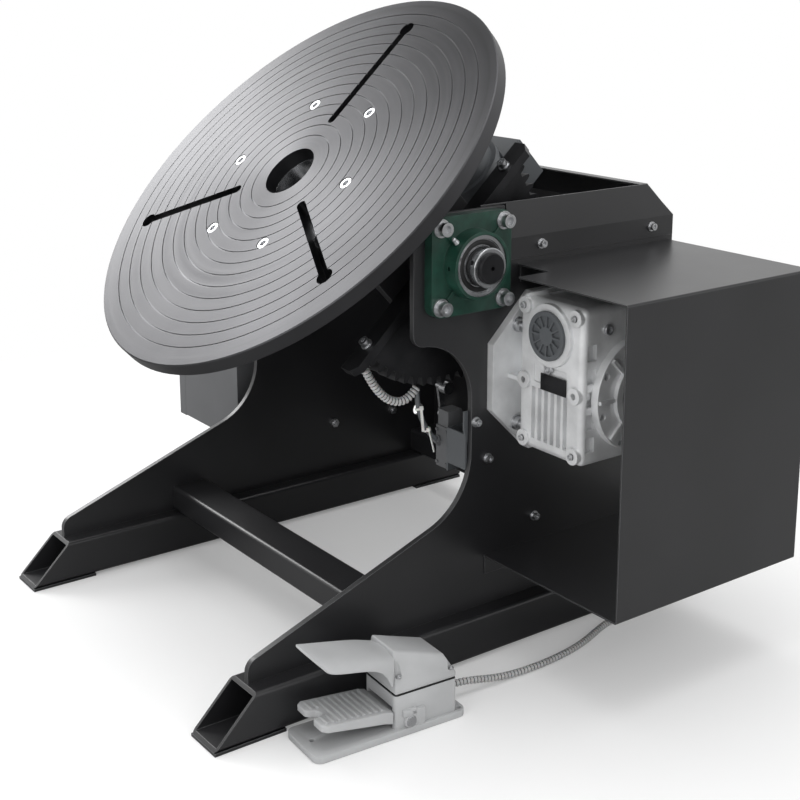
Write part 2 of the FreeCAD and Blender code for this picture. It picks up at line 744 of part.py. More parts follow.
def sector_gear():
    """Half a spur wheel with a full hub: the tilt sector."""
    module = size("sector_module")
    teeth = int(size("sector_teeth"))
    side_teeth = teeth // 4 - 1
    near = size("arm_outer") + size("trip_w") / 2 + size("sector_t") / 2
    thick = size("sector_t")
    outline = tooth_ring(module, teeth, -90.0 - side_teeth * 360.0 / teeth, 0, 2 * side_teeth + 1)
    chord = -size("sector_chord")
    root = module * (teeth / 2.0 - 1.22)
    edge = math.sqrt(root ** 2 - chord ** 2)
    outline = [(-edge, chord)] + outline + [(edge, chord)]
    blade = extruded([Vector(near - thick, y, z) for y, z in outline], Vector(thick, 0, 0))
    hub = Part.makeCylinder(size("sector_hub_d") / 2, near - size("arm_outer"),
                            Vector(size("arm_outer"), 0, 0), Vector(1, 0, 0))
    wheel = blade.fuse(hub)
    bore = Part.makeCylinder(size("shaft_d") / 2 + size("run_gap"), 60,
                             Vector(size("arm_outer") - 1, 0, 0), Vector(1, 0, 0))
    wheel = wheel.cut(bore)
    for angle in (-30, -90, -150):
        turn = math.radians(angle)
        reach = size("sector_bolt_r")
        spot = Vector(size("arm_outer") - 1, reach * math.cos(turn), reach * math.sin(turn))
        wheel = wheel.cut(Part.makeCylinder(5.3, 60, spot, Vector(1, 0, 0)))
    return shape_piece("sector_gear", "tilt", wheel.removeSplitter())


def spur_gear(module, teeth, phase, start, width, axis="z", bore=0, at=(0, 0)):
    """A full spur wheel about a line along x or z."""
    points = [(across + at[0], up + at[1]) for across, up in tooth_ring(module, teeth, phase)]
    if axis == "x":
        outline = [Vector(start, across, up) for across, up in points]
        line = Vector(1, 0, 0)
        foot = Vector(start - 1, at[0], at[1])
    else:
        outline = [Vector(across, up, start) for across, up in points]
        line = Vector(0, 0, 1)
        foot = Vector(at[0], at[1], start - 1)
    wheel = extruded(outline, line * width)
    if bore:
        wheel = wheel.cut(Part.makeCylinder(bore, width + 2, foot, line))
    return wheel


def sector_bolts():
    seat = "arm_outer + trip_w / 2 + sector_t / 2"
    return cap_screws("sector_bolts", "tilt", "x", [(seat, y, z) for y, z in SECTOR_BOLTS], "16", "10", "10",
                      "sector_t + 5 + arm_t", socket_d="8")


def trip_bars():
    """Flat bars on the straight edge of the sector; their ends trip the limit switch."""
    bars = Piece("trip_bars", "tilt")
    low = "-sector_chord"
    for sign in (1, -1):
        start = "trip_inner" if sign > 0 else "-trip_reach"
        bars.box(("arm_outer", start, low), "trip_w", "trip_reach - trip_inner", "trip_t")
    bars.blend("10", lambda middle, along, edge: abs(along.z) > 0.99 and abs(middle.y) > size("trip_reach") - 1
               and middle.x > size("arm_outer") + 5, "Chamfer")
    for sign in (1, -1):
        drill(bars, "z", [("arm_outer + trip_w / 2", f"{sign} * trip_screw_u", f"{low} - 1")], "8 + 0.6",
              "trip_t + 2")
    return bars


def trip_screws():
    seat = "trip_t - sector_chord"
    places = [("arm_outer + trip_w / 2", f"{sign} * trip_screw_u", seat) for sign in (1, -1)]
    return cap_screws("trip_screws", "tilt", "z", places, "13", "8", "8", "trip_t", "16", "1.6", socket_d="6")


# ---------------------------------------------------------------- table
def table():
    """Grooved face plate with a centre bore and three keyhole T-slots."""
    disc = Piece("table", "tilt")
    low = "table_face - table_t"
    disc.rod(("0", "0", low), "z", "table_d / 2", "table_t")
    disc.blend("1.5", lambda middle, along, edge: abs(edge.BoundBox.ZLength) < 0.01, "Chamfer")
    disc.rod(("0", "0", f"{low} - 1"), "z", "bore_d / 2", "table_t + 2", cut=True)
    for number in range(int(size("groove_count"))):
        inner = f"(groove_first + {number} * groove_pitch)"
        face = "table_face - groove_depth"
        disc.pad_ring(inner, "groove_w", face, "groove_depth + 1")
    for turn in (90, 210, 330):
        spin = Rotation(Vector(0, 0, 1), turn)
        middle = f"slot_inner * cos({turn})", f"slot_inner * sin({turn})"
        disc.box((f"{middle[0]} + slot_w / 2 * sin({turn})", f"{middle[1]} - slot_w / 2 * cos({turn})",
                  f"{low} - 1"), "slot_outer - slot_inner", "slot_w", "table_t + 2", cut=True, turn=spin)
        disc.rod((middle[0], middle[1], f"{low} - 1"), "z", "slot_w / 2", "table_t + 2", cut=True)
        disc.rod((f"slot_outer * cos({turn})", f"slot_outer * sin({turn})", f"{low} - 1"), "z",
                 "keyhole_d / 2", "table_t + 2", cut=True)
    for number in range(int(size("table_screws"))):
        turn = 360 / int(size("table_screws")) * number
        spot = (f"table_screw_circle / 2 * cos({turn})", f"table_screw_circle / 2 * sin({turn})")
        disc.rod((spot[0], spot[1], "table_face - 11"), "z", "table_screw_d / 2 + 1", "12", cut=True)
        disc.rod((spot[0], spot[1], f"{low} - 1"), "z", "6.5", "table_t + 2", cut=True)
    return disc


def table_screws():
    places = []
    for number in range(int(size("table_screws"))):
        turn = 360 / int(size("table_screws")) * number
        places.append((f"table_screw_circle / 2 * cos({turn})", f"table_screw_circle / 2 * sin({turn})",
                       "table_face - 11"))
    return cap_screws("table_screws", "tilt", "z", places, "table_screw_d", "10.2", "12", "table_t - 11 + 10",
                      socket_d="10")


def table_hub():
    """Toothed hub flange under the table, with the hollow spindle."""
    module = size("ring_module")
    teeth = int(size("ring_teeth"))
    start = size("table_face") - size("table_t") - size("hub_flange_t")
    wheel = spur_gear(module, teeth, size("table_pinion_angle"), start, size("hub_flange_t"))
    low = size("carrier_top") - size("carrier_t") - 6
    tube = Part.makeCylinder(size("hub_outer_d") / 2, start - low, Vector(0, 0, low))
    wheel = wheel.fuse(tube)
    wheel = wheel.cut(Part.makeCylinder(size("bore_d") / 2, size("table_face") - low, Vector(0, 0, low - 1)))
    count = int(size("table_screws"))
    for number in range(count):
        turn = math.radians(360 / count * number)
        reach = size("table_screw_circle") / 2
        spot = Vector(reach * math.cos(turn), reach * math.sin(turn), start + size("hub_flange_t") - 12)
        wheel = wheel.cut(Part.makeCylinder(6.05, 20, spot))
    return shape_piece("table_hub", "tilt", wheel)


def table_pinion():
    """Pinion and shaft of the table drive."""
    module = size("ring_module")
    teeth = int(size("table_pinion_teeth"))
    start = size("table_face") - size("table_t") - size("hub_flange_t") + 0.5
    angle = size("table_pinion_angle")
    phase = angle + 180 + (180.0 / teeth)
    reach = (size("ring_teeth") + teeth) * module / 2
    spot = (reach * math.cos(math.radians(angle)), reach * math.sin(math.radians(angle)))
    wheel = spur_gear(module, teeth, phase, start, size("hub_flange_t") - 1, at=spot)
    low = size("carrier_top") - size("carrier_t") - 18
    shaft = Part.makeCylinder(10, start - low, Vector(spot[0], spot[1], low))
    return shape_piece("table_pinion", "tilt", wheel.fuse(shaft))


# ---------------------------------------------------------------- tilt drive
NEAR = f"({PLATE_OUT} + box_offset)"
MOTOR_FLAT = "(worm_centre - motor_d / 2 + 10)"
FAR = f"({NEAR} + worm_box_w)"
WORM_X = f"({NEAR} + worm_box_w / 2)"
SHAFT_BORE = "output_d / 2 + run_gap"


def gearbox_housing():
    """Cast worm gearbox: block body, screw bosses at its corners, fins on the front, worm cap seat."""
    box = Piece("gearbox_housing", "drive")
    front = "-worm_box_front"
    low = "-worm_box_bottom"
    depth = "worm_box_front + worm_box_rear"
    box.box((NEAR, front, low), "worm_box_w", depth, "worm_box_top + worm_box_bottom")
    box.blend("9", lambda middle, along, edge: True)
    for number in range(6):
        box.box((f"{NEAR} + 26 + {number} * 12", f"{front} - 1", f"{low} + 16"), "7", "8", "70", cut=True)
    box.box((f"{NEAR} + 30", f"{front} - 1", "8"), "worm_box_w - 60", "2.5", "24", cut=True)
    for number in range(5):
        box.box((f"{FAR} - 6", f"{front} + 8", f"{low} + 18 + {number} * 30"), "7", "14", "20", cut=True)
        box.box((f"{FAR} - 6", "worm_box_rear - 22", f"{low} + 18 + {number} * 30"), "7", "14", "20", cut=True)
    box.box((f"{NEAR} + 22", "-worm_box_front + 26", "worm_box_top - 3"), "worm_box_w - 44",
            "worm_box_front + worm_box_rear - 52", "4", cut=True)
    for x in (f"{NEAR} + 13", f"{FAR} - 13"):
        for z in (f"{low} + 13", "6", "worm_box_top - 13"):
            box.rod((x, f"{front} - 4", z), "y", "11", "20")
            box.rod((x, f"{front} - 5", z), "y", "4.2", "16", cut=True)
    box.rod((WORM_X, f"{front} - 5", "worm_centre"), "y", "41", "30")
    box.rod((WORM_X, f"{front} - 6", "worm_centre"), "y", "32 + run_gap", "10", cut=True)
    box.rod((f"{NEAR} - 1", "0", "0"), "x", SHAFT_BORE, "worm_box_w + 2", cut=True)
    return box


def gearbox_output_flange():
    """Octagonal mounting flange with a ribbed bell."""
    flange = Piece("gearbox_output_flange", "drive")
    flat = "octagon / 2"
    side = "octagon / 2 * tan(22.5)"
    ring = [(flat, f"-{side}"), (flat, side), (side, flat), (f"-{side}", flat), (f"-{flat}", side),
            (f"-{flat}", f"-{side}"), (f"-{side}", f"-{flat}"), (side, f"-{flat}")]
    flange.pad("YZ", ring, PLATE_OUT, "octagon_t")
    bell = "box_offset - octagon_t"
    flange.cone((f"{PLATE_OUT} + octagon_t", "0", "0"), "x", "58", "72", bell)
    rib = flange.box((f"{PLATE_OUT} + octagon_t", "50", "-3"), bell, "34", "6")
    flange.polar([rib], "X", "8")
    flange.rod((f"{PLATE_OUT} - 1", "0", "0"), "x", SHAFT_BORE, "box_offset + 2", cut=True)
    drill(flange, "x", [(f"{PLATE_OUT} - 1", y, z) for y, z in FLANGE_BOLTS], "10 + 1", "octagon_t + 2")
    return flange


def gearbox_side_cover():
    """Round cover on the outer side, with the ring round the hollow shaft."""
    cover = Piece("gearbox_side_cover", "drive")
    cover.rod((FAR, "0", "0"), "x", "side_cover_d / 2", "side_cover_t")
    cover.rod((FAR, "0", "0"), "x", "pilot_d / 2", "side_cover_t + 6")
    cover.rod((f"{FAR} + 4", "0", "0"), "x", "pilot_d / 2 - 10", "side_cover_t + 6", cut=True)
    cover.rod((f"{FAR} - 1", "0", "0"), "x", SHAFT_BORE, "side_cover_t", cut=True)
    rib = cover.box((f"{FAR} + side_cover_t - 1", "pilot_d / 2 - 2", "-2.5"), "5",
                    "side_cover_d / 2 - pilot_d / 2", "5")
    cover.polar([rib], "X", "8")
    hole = cover.rod((f"{FAR} + 3", "side_cover_d / 2 - 10", "20"), "x", "4.5", "20", cut=True)
    cover.polar([hole], "X", "8")
    return cover


def gearbox_worm_cap():
    """Ribbed cap over the end of the worm shaft."""
    cap = Piece("gearbox_worm_cap", "drive")
    front = "-worm_box_front - 9"
    cap.rod((WORM_X, front, "worm_centre"), "y", "32", "13")
    cap.rod((WORM_X, f"{front} - 1", "worm_centre"), "y", "26", "4", cut=True)
    cap.rod((WORM_X, front, "worm_centre"), "y", "12", "6")
    for angle in range(0, 180, 30):
        turn = Rotation(Vector(0, 1, 0), angle)
        cap.box((f"{WORM_X} - 27 * cos({angle}) - 1.25 * sin({angle})", front,
                 f"worm_centre + 27 * sin({angle}) - 1.25 * cos({angle})"), "54", "5", "2.5", turn=turn)
    return cap


def gearbox_flange_bolts():
    """Four long bolts through the flange and the side plate, with a nut and washer on the flange."""
    seat = f"{PLATE_OUT} + octagon_t"
    places = [(seat, y, z) for y, z in FLANGE_BOLTS]
    bolts = cap_screws("gearbox_flange_bolts", "drive", "x", places, "17", "9", "10",
                       "octagon_t + plate_t + 0.5", "21", "2")
    for y, z in FLANGE_BOLTS:
        bolts.rod((f"{seat} + 10", y, z), "x", "5", "7")
        bolts.rod(("inner_gap / 2 - 8", y, z), "x", "8.5", "8")
    return bolts


def tilt_output_shaft():
    """Hollow output shaft and the journal that carries the pinion."""
    shaft = Piece("tilt_output_shaft", "drive")
    near = "arm_outer + trip_w / 2 + sector_t / 2"
    shaft.rod((near, "0", "0"), "x", "output_d / 2", f"{FAR} + 8 - ({near})")
    shaft.rod((f"{near} - sector_t - 6", "0", "0"), "x", "drive_bore_d / 2", "sector_t + 10")
    shaft.rod((f"{FAR} - 60", "0", "0"), "x", "drive_bore_d / 2 + 3.5", "70", cut=True)
    shaft.box((f"{FAR} - 60", "-4", "drive_bore_d / 2"), "70", "8", "8", cut=True)
    return shaft


def tilt_pinion():
    """Pinion on the gearbox shaft, in mesh with the sector."""
    module = size("sector_module")
    teeth = int(size("pinion_teeth"))
    near = size("arm_outer") + size("trip_w") / 2 - size("sector_t") / 2
    phase = 180 - size("mesh_angle") + 180.0 / teeth
    wheel = spur_gear(module, teeth, phase, near, size("sector_t"), "x",
                      size("drive_bore_d") / 2 + size("run_gap"))
    return shape_piece("tilt_pinion", "drive", wheel)


def tilt_motor():
    """Finned electric motor on the rear of the gearbox."""
    motor = Piece("tilt_motor", "drive")
    rear = "worm_box_rear"
    motor.rod((WORM_X, rear, "worm_centre"), "y", "motor_d / 2", "12")
    motor.rod((WORM_X, f"{rear} + 12", "worm_centre"), "y", "motor_d / 2 - 8", "motor_len - 62")
    motor.rod((WORM_X, f"{rear} + motor_len - 50", "worm_centre"), "y", "motor_d / 2 - 1", "50")
    motor.blend("4", lambda middle, along, edge: middle.y > size("worm_box_rear") + size("motor_len") - 0.5)
    for angle in range(0, 360, 15):
        turn = Rotation(Vector(0, 1, 0), angle)
        reach = "(motor_d / 2 - 11)"
        motor.box((f"{WORM_X} + {reach} * cos({angle}) - 1.25 * sin({angle})", f"{rear} + 14",
                   f"worm_centre - {reach} * sin({angle}) - 1.25 * cos({angle})"), "9", "motor_len - 72",
                  "2.5", turn=turn)
    motor.box((f"{WORM_X} - 46", f"{rear} + 39", f"{MOTOR_FLAT} - 11"), "92", "92", "11", cut=True)
    for radius in (20, 32, 44):
        motor.turned_y(WORM_X, "worm_centre", radius, f"{rear} + motor_len")
    return motor


def tilt_motor_terminal_box():
    box = Piece("tilt_motor_terminal_box", "drive")
    top = f"{MOTOR_FLAT} - 5.5"
    box.box((f"{WORM_X} - 45", "worm_box_rear + 40", f"{top} - 44"), "90", "90", "42")
    box.blend("6", lambda middle, along, edge: abs(along.z) > 0.99)
    box.rod((f"{WORM_X}", "worm_box_rear + 85", f"{top} - 4"), "z", "20", "9.5")
    box.rod((f"{WORM_X} - 20", "worm_box_rear + 129", f"{top} - 24"), "y", "9", "14")
    return box


def drive_cover():
    """Bent sheet round the tilt drive, open to the front and the rear."""
    cover = Piece("drive_cover")
    low, high = "cover_low", "axis_height - cover_top"
    long = "cover_rear - cover_front"
    cover.box((PLATE_OUT, "cover_front", low), "cover_out", long, f"{high} - ({low})")
    cover.blend("3", lambda middle, along, edge: abs(along.y) > 0.99 and middle.x > size("inner_gap") / 2 + 99)
    cover.box((f"{PLATE_OUT} - 1", "cover_front - 1", f"{low} + sheet_t"), "cover_out - sheet_t + 1",
              f"{long} + 2", f"{high} - ({low}) - 2 * sheet_t", cut=True)
    cover.box((PLATE_OUT, "cover_front + 1", f"{low} - cover_flange"), "sheet_t", f"{long} - 2",
              "cover_flange + sheet_t")
    cover.box((PLATE_OUT, "notch_y + 4", f"{high} - cover_flange"), "sheet_t", "cover_rear - notch_y - 5",
              "cover_flange - 1")
    cover.box((f"{PLATE_OUT} - 1", "cover_front - 1", f"{high} - sheet_t - 1"), "notch_w + 1",
              "notch_y - cover_front + 1", "sheet_t + 2", cut=True)
    drill(cover, "x", [(f"{PLATE_OUT} - 1", y, z) for y, z in FLANGE_SCREWS], "6 + 0.4", "sheet_t + 2")
    return cover


def panel_screws():
    """Small screws of the guard, the drive cover and the limit switch's bracket."""
    guard = [(f"{PLATE_OUT} + sheet_t", y, f"axis_height + {z}") for y, z in GUARD_SCREWS]
    low = [(f"{PLATE_OUT} + sheet_t", y, z) for y, z in FLANGE_SCREWS]
    plain = [(PLATE_OUT, y, z) for y, z in BRACKET_SCREWS + COVER_SCREWS]
    long = "plate_t + sheet_t"
    screws = cap_screws("panel_screws", "floor", "x", guard + low, "10", "6", "6", long, "14", "1.6",
                        socket_d="5")
    add_screws(screws, "x", plain, "10", "6", "6", "plate_t + 5", "14", "1.6", 1, "5")
    far = [(f"-({at[0]})", at[1], at[2]) for at in guard]
    add_screws(screws, "x", far, "10", "6", "6", long, "14", "1.6", -1, "5")
    return screws


# ---------------------------------------------------------------- control box
BOX_IN = f"(-{PLATE_OUT} - box_standoff)"
BOX_OUT = f"({BOX_IN} - box_depth)"
DOOR_IN = f"({BOX_OUT} - door_gap)"
DOOR_OUT = f"({DOOR_IN} - door_t)"
HINGE_X = f"({BOX_OUT} - 6)"
HINGE_Y = "(box_width + 6)"


def control_box():
    """Sheet-steel cabinet on the outside of the far plate, open to its door."""
    box = Piece("control_box")
    box.box((BOX_OUT, "0", "box_low"), "box_depth", "box_width", "box_height")
    box.blend("3", along_x)
    box.box((f"{BOX_OUT} - 1", "box_wall", "box_low + box_wall"), "box_depth + 1 - box_wall",
            "box_width - 2 * box_wall", "box_height - 2 * box_wall", cut=True)
    drill(box, "x", [(f"{BOX_IN} - box_wall - 1", y, z) for y, z in BOX_BOLTS], "8 + 0.6", "box_wall + 2")
    drill(box, "x", [(f"{BOX_IN} - box_wall - 1", "cable_hole_y", "cable_hole_z + 8")], "cable_hole_d - 6",
          "box_wall + 2")
    for low in ("60", "box_height - 110"):
        box.box((BOX_OUT, "box_width", f"box_low + {low}"), "24", "2", "50")
        box.rod((HINGE_X, HINGE_Y, f"box_low + {low}"), "z", "5.7", "25")
        box.box((HINGE_X, "box_width", f"box_low + {low}"), "8", "6.5", "25")
    return box


def control_box_door():
    """Pan-shaped door with the upper knuckles of its two hinges."""
    door = Piece("control_box_door")
    door.box((DOOR_OUT, "0", "box_low"), "door_t", "box_width", "box_height")
    door.blend("3", lambda middle, along, edge: middle.x < -size("inner_gap") / 2 - size("box_standoff")
               - size("box_depth") - size("door_t"))
    door.box((f"{DOOR_OUT} + box_wall", "box_wall", "box_low + box_wall"), "door_t", "box_width - 2 * box_wall",
             "box_height - 2 * box_wall", cut=True)
    for low in ("60", "box_height - 110"):
        high = f"box_low + {low} + 25.3"
        door.rod((HINGE_X, HINGE_Y, high), "z", "5.7", "24.7")
        door.box((f"{HINGE_X} - 5.7", "box_width - 1", high), "5.7", "7.5", "24.7")
    door.rod((f"{DOOR_OUT} - 1", "30", "box_low + box_height / 2"), "x", "9 + run_gap", "door_t + 2", cut=True)
    return door


def control_box_lock():
    """Quarter-turn lock: a knob with a grip outside and a tongue behind the cabinet's front edge."""
    lock = Piece("control_box_lock")
    y, z = "30", "box_low + box_height / 2"
    lock.rod((f"{DOOR_OUT} - 3", y, z), "x", "13", "2.95")
    lock.rod((f"{DOOR_OUT} - 3", y, z), "x", "9", "door_t + 6")
    lock.box((f"{DOOR_OUT} - lock_reach", f"{y} - 3", f"{z} - 13"), "lock_reach - 2", "6", "26")
    lock.box((f"{DOOR_IN} + 0.3 - 2.3", f"{y} - 26", f"{z} - 8"), "2", "36", "16")
    return lock


def control_box_bolts():
    """Bolts from inside the cabinet through the far plate, with nuts on the plate's inner face."""
    places = [(f"{BOX_IN} - box_wall", y, z) for y, z in BOX_BOLTS]
    bolts = cap_screws("control_box_bolts", "floor", "x", places, "13", "8", "8",
                       "box_wall + box_standoff + plate_t + 9", "16", "1.6", -1, "6")
    for y, z in BOX_BOLTS:
        ring = [(f"{y} + 7.5 * cos({a})", f"{z} + 7.5 * sin({a})") for a in range(0, 360, 60)]
        bolts.pad("YZ", ring, "-inner_gap / 2", "6.5")
    return bolts


def control_box_spacers():
    """Round spacers that hold the cabinet away from the plate."""
    spacers = Piece("control_box_spacers")
    for y, z in BOX_BOLTS:
        spacers.rod((BOX_IN, y, z), "x", "11", "box_standoff")
        spacers.rod((f"{BOX_IN} - 1", y, z), "x", "(8 + 0.6) / 2", "box_standoff + 2", cut=True)
    return spacers


# ---------------------------------------------------------------- limit switch
def limit_switch_bracket():
    """Bent strip from the inner face of the near plate to the back of the switch."""
    strip = Piece("limit_switch_bracket")
    face = "inner_gap / 2"
    outline = [(y, f"{SWITCH_LOW} + {z}") for y, z in ((8, 94), (34, 94), (56, 12), (28, 8), (8, 68))]
    strip.pad("YZ", outline, f"{face} - 3", "3")
    strip.box(("switch_x + 13", "10", f"{SWITCH_LOW} + 12"), f"{face} - switch_x - 13", "3", "50")
    strip.box(("switch_x + 13", "10", SWITCH_LOW), "3", "32", "62")
    drill(strip, "x", [(f"{face} - 4", y, z) for y, z in BRACKET_SCREWS], "6 + 0.4", "5")
    return strip


def limit_switch_body():
    """Switch case, the turret with its pivot, two cover screws and the cable gland."""
    body = Piece("limit_switch_body")
    front = LEVER_Y
    left = "switch_x - 15"
    body.box((left, f"{front} - 14", SWITCH_LOW), "28", "30", "switch_h - 12")
    body.blend("2", lambda middle, along, edge: abs(along.z) > 0.99)
    body.box((f"{left} + 3", f"{front} - 12", f"{LEVER_Z} - 13"), "22", "24", "24")
    for z in (f"{SWITCH_LOW} + 6", f"{LEVER_Z} - 18"):
        for x in ("switch_x - 11", "switch_x + 9"):
            body.rod((x, f"{front} - 16", z), "y", "2.4", "5")
    before, end = (Vector(*CABLE_ROUTE[number]) for number in (-2, -1))
    body.rod((end.x, end.y, f"axis_height + {end.z}"), Rotation(Vector(0, 0, 1), end - before), "6", "12")
    body.rod((f"{left} + 2", front, LEVER_Z), "x", "3 + run_gap", "20", cut=True)
    return body


def limit_switch_lever():
    """Lever on its pin, with the roller at its end."""
    lever = Piece("limit_switch_lever")
    pin = "switch_x - 20"
    turn = Rotation(Vector(1, 0, 0), SIZES["lever_turn"])
    lever.rod((pin, LEVER_Y, LEVER_Z), "x", "3", "18")
    lever.rod((pin, LEVER_Y, LEVER_Z), "x", "7", "4")
    lever.box((pin, f"{LEVER_Y} - 4 * cos(lever_turn)", f"{LEVER_Z} - 4 * sin(lever_turn)"), "4", "8",
              "lever_len", turn=turn)
    lever.rod((pin, "roller_y", "axis_height - roller_drop"), "x", "5", "22")
    lever.rod(("switch_x - 8", "roller_y", "axis_height - roller_drop"), "x", "roller_d / 2", "12")
    return lever


# ---------------------------------------------------------------- cords
def rounded_path(points):
    """Straight runs joined by tangent arcs, each as large as its two runs allow."""
    edges = []
    radii = []
    last = points[0]
    for before, corner, after in zip(points, points[1:], points[2:]):
        run_in, run_out = corner - before, after - corner
        turn = run_in.getAngle(run_out)
        cut = 0.45 * min(run_in.Length, run_out.Length)
        radius = cut / math.tan(turn / 2)
        start = corner - run_in / run_in.Length * cut
        end = corner + run_out / run_out.Length * cut
        bisector = run_out / run_out.Length - run_in / run_in.Length
        middle = corner + bisector / bisector.Length * (radius / math.cos(turn / 2) - radius)
        edges.append(Part.LineSegment(last, start).toShape())
        edges.append(Part.Arc(start, middle, end).toShape())
        radii.append(radius)
        last = end
    edges.append(Part.LineSegment(last, points[-1]).toShape())
    return Part.Wire(edges), radii


def cord(name, points, diameter, frame="floor"):
    """A plain tube along a route."""
    points = [Vector(*point) for point in points]
    path, radii = rounded_path(points)
    first = points[1] - points[0]
    profile = Part.Wire([Part.Circle(points[0], first, diameter / 2).toShape()])
    tube = path.makePipeShell([profile], True, False, 1)
    exact = math.pi * diameter ** 2 / 4 * path.Length
    print(f"{name}: length {path.Length:.1f}, radii {min(radii):.0f}-{max(radii):.0f}, "
          f"volume {tube.Volume / exact:.4f} of section x length")
    return shape_piece(name, frame, tube)


# The pedal's hose, from the floor under the plates' middle; the other two from the tilt axis.
PEDAL_ROUTE = [
    (367.334, -88.977, 20), (368.59, -71.02, 20), (370.6, -48, 16.2), (372.2, -22, 10.4), (373.6, 6, 6.4),
    (374.6, 34, 4.9), (375, 62, 4.6), (373.2, 96, 4.6), (369, 128, 4.6), (361, 160, 4.6), (350, 190, 4.6),
    (341.5, 216, 4.6), (337.2, 242, 4.6), (335.4, 266, 4.6), (336, 289, 4.6), (336, 307.3, 4.6),
    (336, 321.1, 9.1), (336, 332.9, 17.7), (336, 341.5, 29.5), (336, 346, 43.3), (336, 346, 57.9),
    (331.5, 346, 71.7), (322.9, 346, 83.5), (311.1, 346, 92.1), (297.3, 346, 96.6), (283, 346, 96.6),
]
CONDUIT_ROUTE = [
    (190, -92, -151), (191, -83, -169), (193, -71, -186), (195, -57, -198), (198, -41, -203),
    (200, -26, -198), (201, -15, -186),
]
CABLE_ROUTE = [
    (201, -15, -186), (203, -16, -200), (206, -16, -215), (210, -13, -230), (213, -7, -244),
    (214, 1, -255), (214, 7.8, -260),
]


# ---------------------------------------------------------------- pedal
GLAND_Z = "(pedal_base_t + 11)"


def pedal_base():
    """Cast base plate, the lower half of the switch case and the treadle's ears."""
    base = Piece("pedal_base", "pedal")
    half = "pedal_w / 2"
    rear = "pedal_body_len"
    front = "-(pedal_len - pedal_body_len)"
    base.box((f"-{half}", front, "0"), "pedal_w", "pedal_len", "pedal_base_t")
    base.blend("12", lambda middle, along, edge: abs(along.z) > 0.99 and middle.y < 0)
    base.blend("5", lambda middle, along, edge: abs(along.z) > 0.99 and middle.y > 0)
    body = "pedal_body_w / 2"
    base.box((f"-{body}", "0", "0"), "pedal_body_w", f"{rear} - 1", "pedal_split")
    base.blend("5", lambda middle, along, edge: abs(along.z) > 0.99 and middle.z > size("pedal_base_t")
               and middle.y > 5)
    for x in (f"-{half} + 1", f"{half} - 8"):
        base.box((x, "2", "pedal_base_t - 2"), "7", "38", "20")
    for x, y in ((f"-{half} + 12", f"{front} + 12"), (f"{half} - 12", f"{front} + 12")):
        base.rod((x, y, "-1"), "z", "3.5", "pedal_base_t + 2", cut=True)
    base.rod((f"-{half} - 1", "21", "17"), "x", "4 + run_gap", "pedal_w + 2", cut=True)
    base.box((f"-{body} + 3.5", "3.5", "pedal_base_t"), "pedal_body_w - 7", f"{rear} - 8", "pedal_split",
             cut=True)
    base.box(("-treadle_w / 2 - 1", "-1", "pedal_base_t"), "treadle_w + 2", "36", "27", cut=True)
    base.rod(("-4", f"{rear} - 6", GLAND_Z), "y", "8 + run_gap", "10", cut=True)
    return base


def pedal_gasket():
    gasket = Piece("pedal_gasket", "pedal")
    body = "(pedal_body_w / 2 - 0.8)"
    gasket.box((f"-{body}", "0.8", "pedal_split"), f"2 * {body}", "pedal_body_len - 1 - 1.6", "pedal_gasket_t")
    gasket.blend("4", lambda middle, along, edge: abs(along.z) > 0.99)
    gasket.box((f"-{body} + 4", "5", "pedal_split - 1"), f"2 * {body} - 8", "pedal_body_len - 11",
               "pedal_gasket_t + 2", cut=True)
    return gasket


def pedal_cover():
    """Upper half of the case, which runs forward as a hood over the treadle."""
    cover = Piece("pedal_cover", "pedal")
    low = "pedal_split + pedal_gasket_t"
    half = "pedal_body_w / 2"
    rear = "pedal_body_len - 1"
    cover.pad("YZ", [("0", low), ("0", "pedal_cover_front - 20"), ("-hood_reach", "hood_front - 26"),
                     ("-hood_reach", "hood_front"), ("0", "pedal_cover_front"),
                     ("30", "pedal_cover_front - 2"), (rear, "pedal_cover_rear"), (rear, low)],
              f"-{half}", "pedal_body_w")
    cover.blend("4", lambda middle, along, edge: abs(along.y) > 0.7 and abs(middle.x) > 10
                and (middle.z > 104 or middle.y > 10) and middle.z > size("pedal_cover_rear"))
    cover.pad("YZ", [("hood_wall", f"{low} - 1"), ("hood_wall", "pedal_cover_front - 5"),
                     ("30", "pedal_cover_front - 7"), (f"{rear} - 4", "pedal_cover_rear - 5"),
                     (f"{rear} - 4", f"{low} - 1")],
              f"-{half} + hood_wall", "pedal_body_w - 2 * hood_wall", cut=True)
    cover.pad("YZ", [("0", "pedal_cover_front - 30"), ("0", "pedal_cover_front - hood_wall"),
                     ("-hood_reach - 1", "hood_front - hood_wall"), ("-hood_reach - 1", "hood_front - 40")],
              f"-{half} + hood_wall", "pedal_body_w - 2 * hood_wall", cut=True)
    return cover


def treadle():
    """Ribbed wedge-shaped tread on a cross pin."""
    tread = Piece("treadle", "pedal")
    half = "treadle_w / 2"
    tread.pad("YZ", [("29", "10.5"), ("29", "24"), ("14", "27"), ("-10", "35"), ("-98", "43"), ("-98", "34"),
                     ("-13", "20"), ("14", "10.5")], f"-{half}", "treadle_w")
    for number in range(8):
        up = f"35 + ({number} * 10 + 6) * 8 / 88"
        tread.box((f"-{half} + 6", f"-10 - {number} * 10 - 8", f"{up} - 1"), "treadle_w - 12", "4", "3.2")
    tread.box((f"-{half} + 4", "-99", "30"), "10", "14", "20", cut=True)
    tread.rod((f"-{half} - 1", "21", "17"), "x", "4 + run_gap", "treadle_w + 2", cut=True)
    return tread


def treadle_pin():
    pin = Piece("treadle_pin", "pedal")
    pin.rod(("-pedal_w / 2 + 0.5", "21", "17"), "x", "4", "pedal_w - 1")
    pin.rod(("pedal_w / 2 - 1", "21", "17"), "x", "6.5", "2.5")
    return pin


